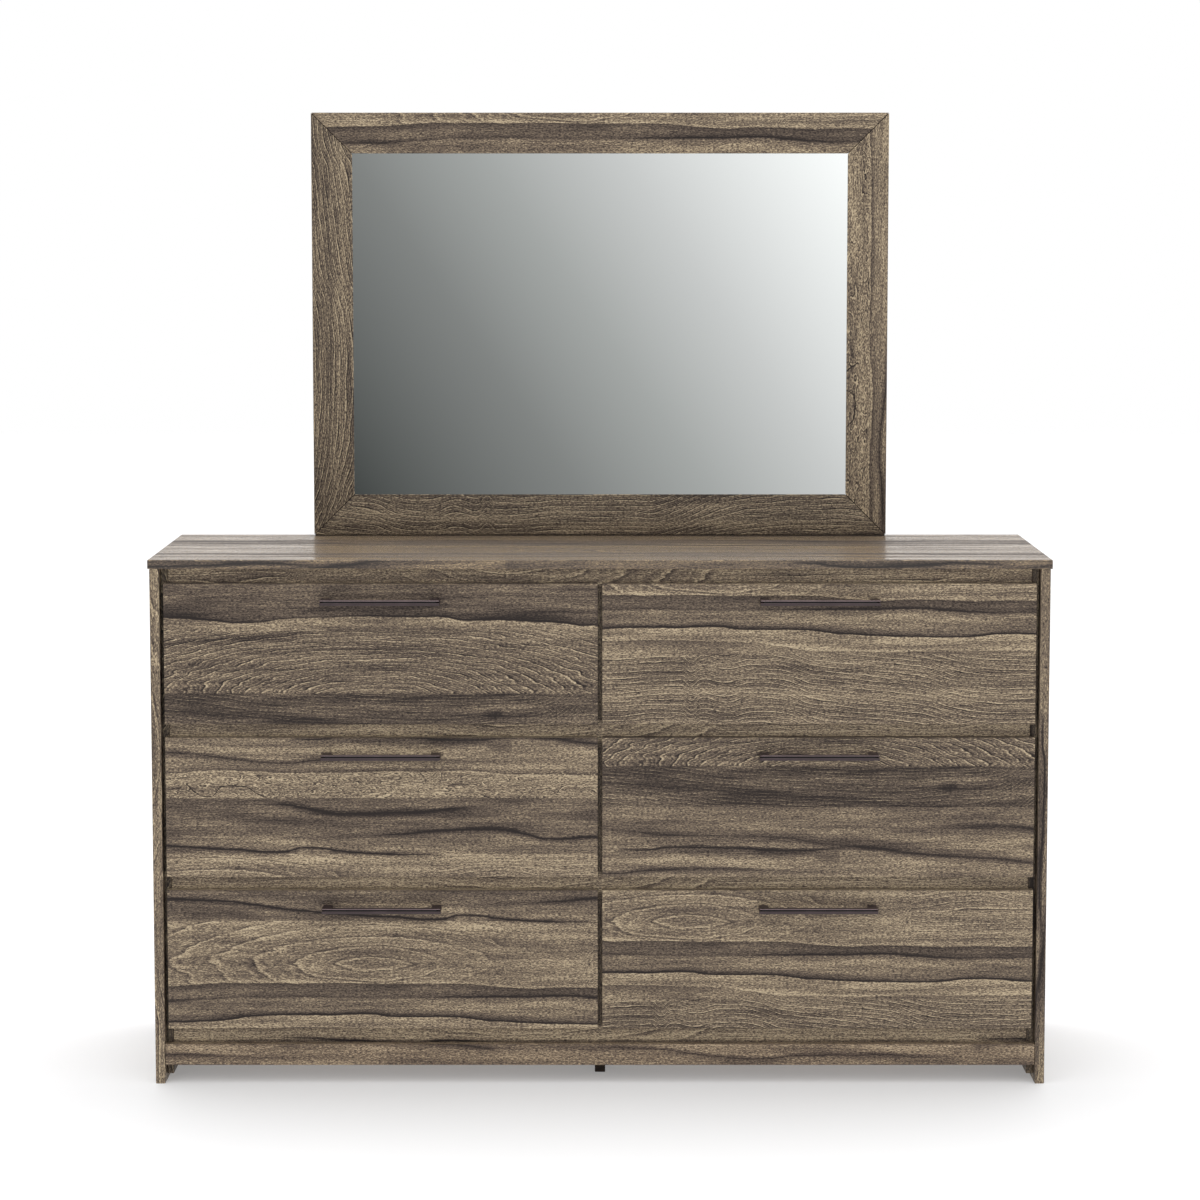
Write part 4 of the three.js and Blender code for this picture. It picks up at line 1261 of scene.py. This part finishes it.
def makeDrawers():
    section = slideSection()
    behind, up = runner["rearRoller"]
    webFace = runner["slideFace"] - runner["steel"]
    axleStart = roller["span"][0] + roller["rearStart"]
    screw, stop = drawerFixings["handleScrew"], drawerFixings["stop"]
    for drawer in drawers:
        _, level, side = drawer.split("_")
        low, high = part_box(f"{drawer}_box")
        makePiece(f"{drawer}_tray", [skin(trayRings(low, high))], drawer,
                  finishes["drawerBoardY"], replaced=[f"{drawer}_box"])
        slides, rollers, fixings = [], [], []
        for wall in walls:
            wallX, inward, runnerLow, _ = runnerPlace(level, side, wall)
            front, rear, foot = low[1] + runner["slideFront"], high[1], runnerLow[2]
            slides.append(carriedOffWall([(front, section), (rear, section)], wallX, inward, foot))
            rollers.append(rollerSkin(wallX, inward, rear - behind, foot + up))
            fixings.append(axleSkin(wallX, inward, axleStart, webFace, rear - behind, foot + up))
            fixings += screwRow(runner["slideScrews"], wallX + inward * webFace, -inward, front, rear, foot)
        frontLow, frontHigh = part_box(f"{drawer}_front")
        handleLow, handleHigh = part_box(f"{drawer}_handle")
        handleZ = (handleLow[2] + handleHigh[2]) / 2
        for x in (handleLow[0] + screw["in"], handleHigh[0] - screw["in"]):
            fixings.append(screwSkin((x, frontHigh[1], handleZ), "y", 1, screw))
        stops = [studSkin((x, frontHigh[1], frontHigh[2] - stop["down"]), stop)
                 for x in (frontLow[0] + stop["in"], frontHigh[0] - stop["in"])]
        makePiece(f"{drawer}_slides", slides, drawer, finishes["runnerSteel"])
        makePiece(f"{drawer}_rollers", rollers + stops, drawer, finishes["rollerNylon"])
        makePiece(f"{drawer}_fixings", fixings, drawer, finishes["screwZinc"])


# Back of the dresser and of the mirror: posts with screws, a nailed panel with a taped fold, and steel
# points that hold the backing in its rebate
backSide = {
    "postEase": 1.6 * mm,
    "screw": {"radius": 4.6 * mm, "rise": 0.45 * mm, "aside": 15.0 * mm,
              "underTop": 25.0 * mm, "underPostEnd": 21.0 * mm},
    "nail": {"radius": 2.2 * mm, "rise": 0.6 * mm, "narrow": 0.6, "sink": 0.1 * mm, "count": 12,
             "fromEdge": 4.0 * mm, "gap": 102.0 * mm},
    "tape": {"half": 14.0 * mm, "thick": 0.25 * mm, "round": 0.2 * mm},
    "point": {"half": 5.5 * mm, "narrow": 0.7, "long": 9.0 * mm, "thick": 0.5 * mm, "round": 1.2 * mm,
              "out": 0.6 * mm, "lift": 0.1 * mm, "across": 5, "upwards": 3},
}


# Both posts, and the screws that hold them to the rail and to the mirror's members
def makePosts():
    screw, ease = backSide["screw"], backSide["postEase"]
    memberLow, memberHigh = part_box("mirror_frame_bottom")
    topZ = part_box("top_panel")[0][2]
    screws = []
    for side in sides:
        low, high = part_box(f"mirror_post_{side}")
        faceY = high[1] - screw["rise"]
        outline = roundedBox(low[0], low[1], high[0], faceY, ease)
        makePiece(f"mirror_upright_{side}", [skin(carried(outline, "z", low[2], high[2], ease))], "carcass",
                  finishes["darkBoardZ"], replaced=[f"mirror_post_{side}"])
        heights = (topZ - screw["underTop"], (memberLow[2] + memberHigh[2]) / 2,
                   high[2] - screw["underPostEnd"])
        for z in heights:
            for aside in (-screw["aside"], screw["aside"]):
                screws.append(screwSkin(((low[0] + high[0]) / 2 + aside, faceY, z), "y", 1, screw))
    return screws


# Nails all round the back panel, apart from those that the posts would cover
def backNails():
    nail = backSide["nail"]
    low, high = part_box("back_panel")
    across, upwards = (np.linspace(low[axis] + nail["fromEdge"], high[axis] - nail["fromEdge"],
                                   round((high[axis] - low[axis]) / nail["gap"])) for axis in (0, 2))
    places = [(x, z) for x in across for z in (upwards[0], upwards[-1])]
    places += [(x, z) for x in (across[0], across[-1]) for z in upwards[1:-1]]
    posts = [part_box(f"mirror_post_{side}") for side in sides]
    room = nail["fromEdge"]
    return [studSkin((x, high[1], z), nail) for x, z in places
            if not any(post[0][0] - room < x < post[1][0] + room and z > post[0][2] for post in posts)]


# Plates pushed in along all four sides of the mirror's backing
def backingPoints():
    point = backSide["point"]
    low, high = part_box("mirror_backing")
    half, long, out = point["half"], point["long"], point["out"]
    tip = half * point["narrow"]
    plate = rounded([(-half, 0), (half, 0), (tip, -long), (-tip, -long)], point["round"])
    outlines = []
    for x in np.linspace(low[0], high[0], point["across"] + 2)[1:-1]:
        outlines += [plate + (x, high[2] + out), plate * (1, -1) + (x, low[2] - out)]
    for z in np.linspace(low[2], high[2], point["upwards"] + 2)[1:-1]:
        outlines += [plate[:, ::-1] + (high[0] + out, z), plate[:, ::-1] * (-1, 1) + (low[0] - out, z)]
    start = high[1] + point["lift"]
    return [skin(carried(outline, "y", start, start + point["thick"])) for outline in outlines]


def makeBackSide():
    makePiece("back_fixings", makePosts() + backNails(), "carcass", finishes["screwZinc"])
    tape = backSide["tape"]
    low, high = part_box("back_panel")
    half, thick = tape["half"], tape["thick"]
    outline = roundedBox(-half, high[1] - thick, half, high[1] + thick, tape["round"])
    makePiece("back_fold_tape", [skin(carried(outline, "z", low[2], high[2]))], "carcass",
              finishes["paperTape"])
    makePiece("backing_points", backingPoints(), "carcass", finishes["runnerSteel"])


def paint(name, material):
    nodes[name].data.materials.clear()
    nodes[name].data.materials.append(material)


def paintNodes():
    for name, spec in boards.items():
        if not name.startswith("mirror_frame"):  # the mouldings take those nodes' place, and their material
            paint(name, boardMaterial(name, spec))
    plain = {
        "back_panel": "hardboard", "mirror_backing": "hardboard", "mirror_glass": "mirrorGlass",
        "rear_stile_left": "darkBoardZ", "rear_stile_right": "darkBoardZ", "rear_top_rail": "darkBoardX",
        "centre_foot": "darkBoardY", "mirror_post_left": "darkBoardZ", "mirror_post_right": "darkBoardZ",
    }
    for drawer in drawers:
        plain[f"{drawer}_box"] = "drawerBoardY"
        plain[f"{drawer}_bottom"] = "hardboard"
        for wall in walls:
            plain[f"{drawer.replace('drawer', 'runner')}_{wall}"] = "runnerSteel"
    for name, finish in plain.items():
        paint(name, finishes[finish])


makeCamera()
makeLamps()
makeStage()
print("camera, lamps and floor ready")
printGroup = makePrintGroup()
woods = {"darkBoardX": ("darkBoard", "x"), "darkBoardY": ("darkBoard", "y"),
         "darkBoardZ": ("darkBoard", "z"), "drawerBoardY": ("drawerBoard", "y"),
         "paperTape": ("paperTape", "z")}
finishes = {name: woodMaterial(name, plainWoods[wood], axis) for name, (wood, axis) in woods.items()}
finishes.update({name: plainMaterial(name, spec) for name, spec in plainFinishes.items()})
finishes["mirrorGlass"] = mirrorMaterial()
paintNodes()
print("boards, metals and glass painted")
makeHandles()
makeMirrorFrame()
print("handles and mirror frame made")
makeRunners()
makeDrawers()
makeBackSide()
print("runners, drawer boxes and fixings made")
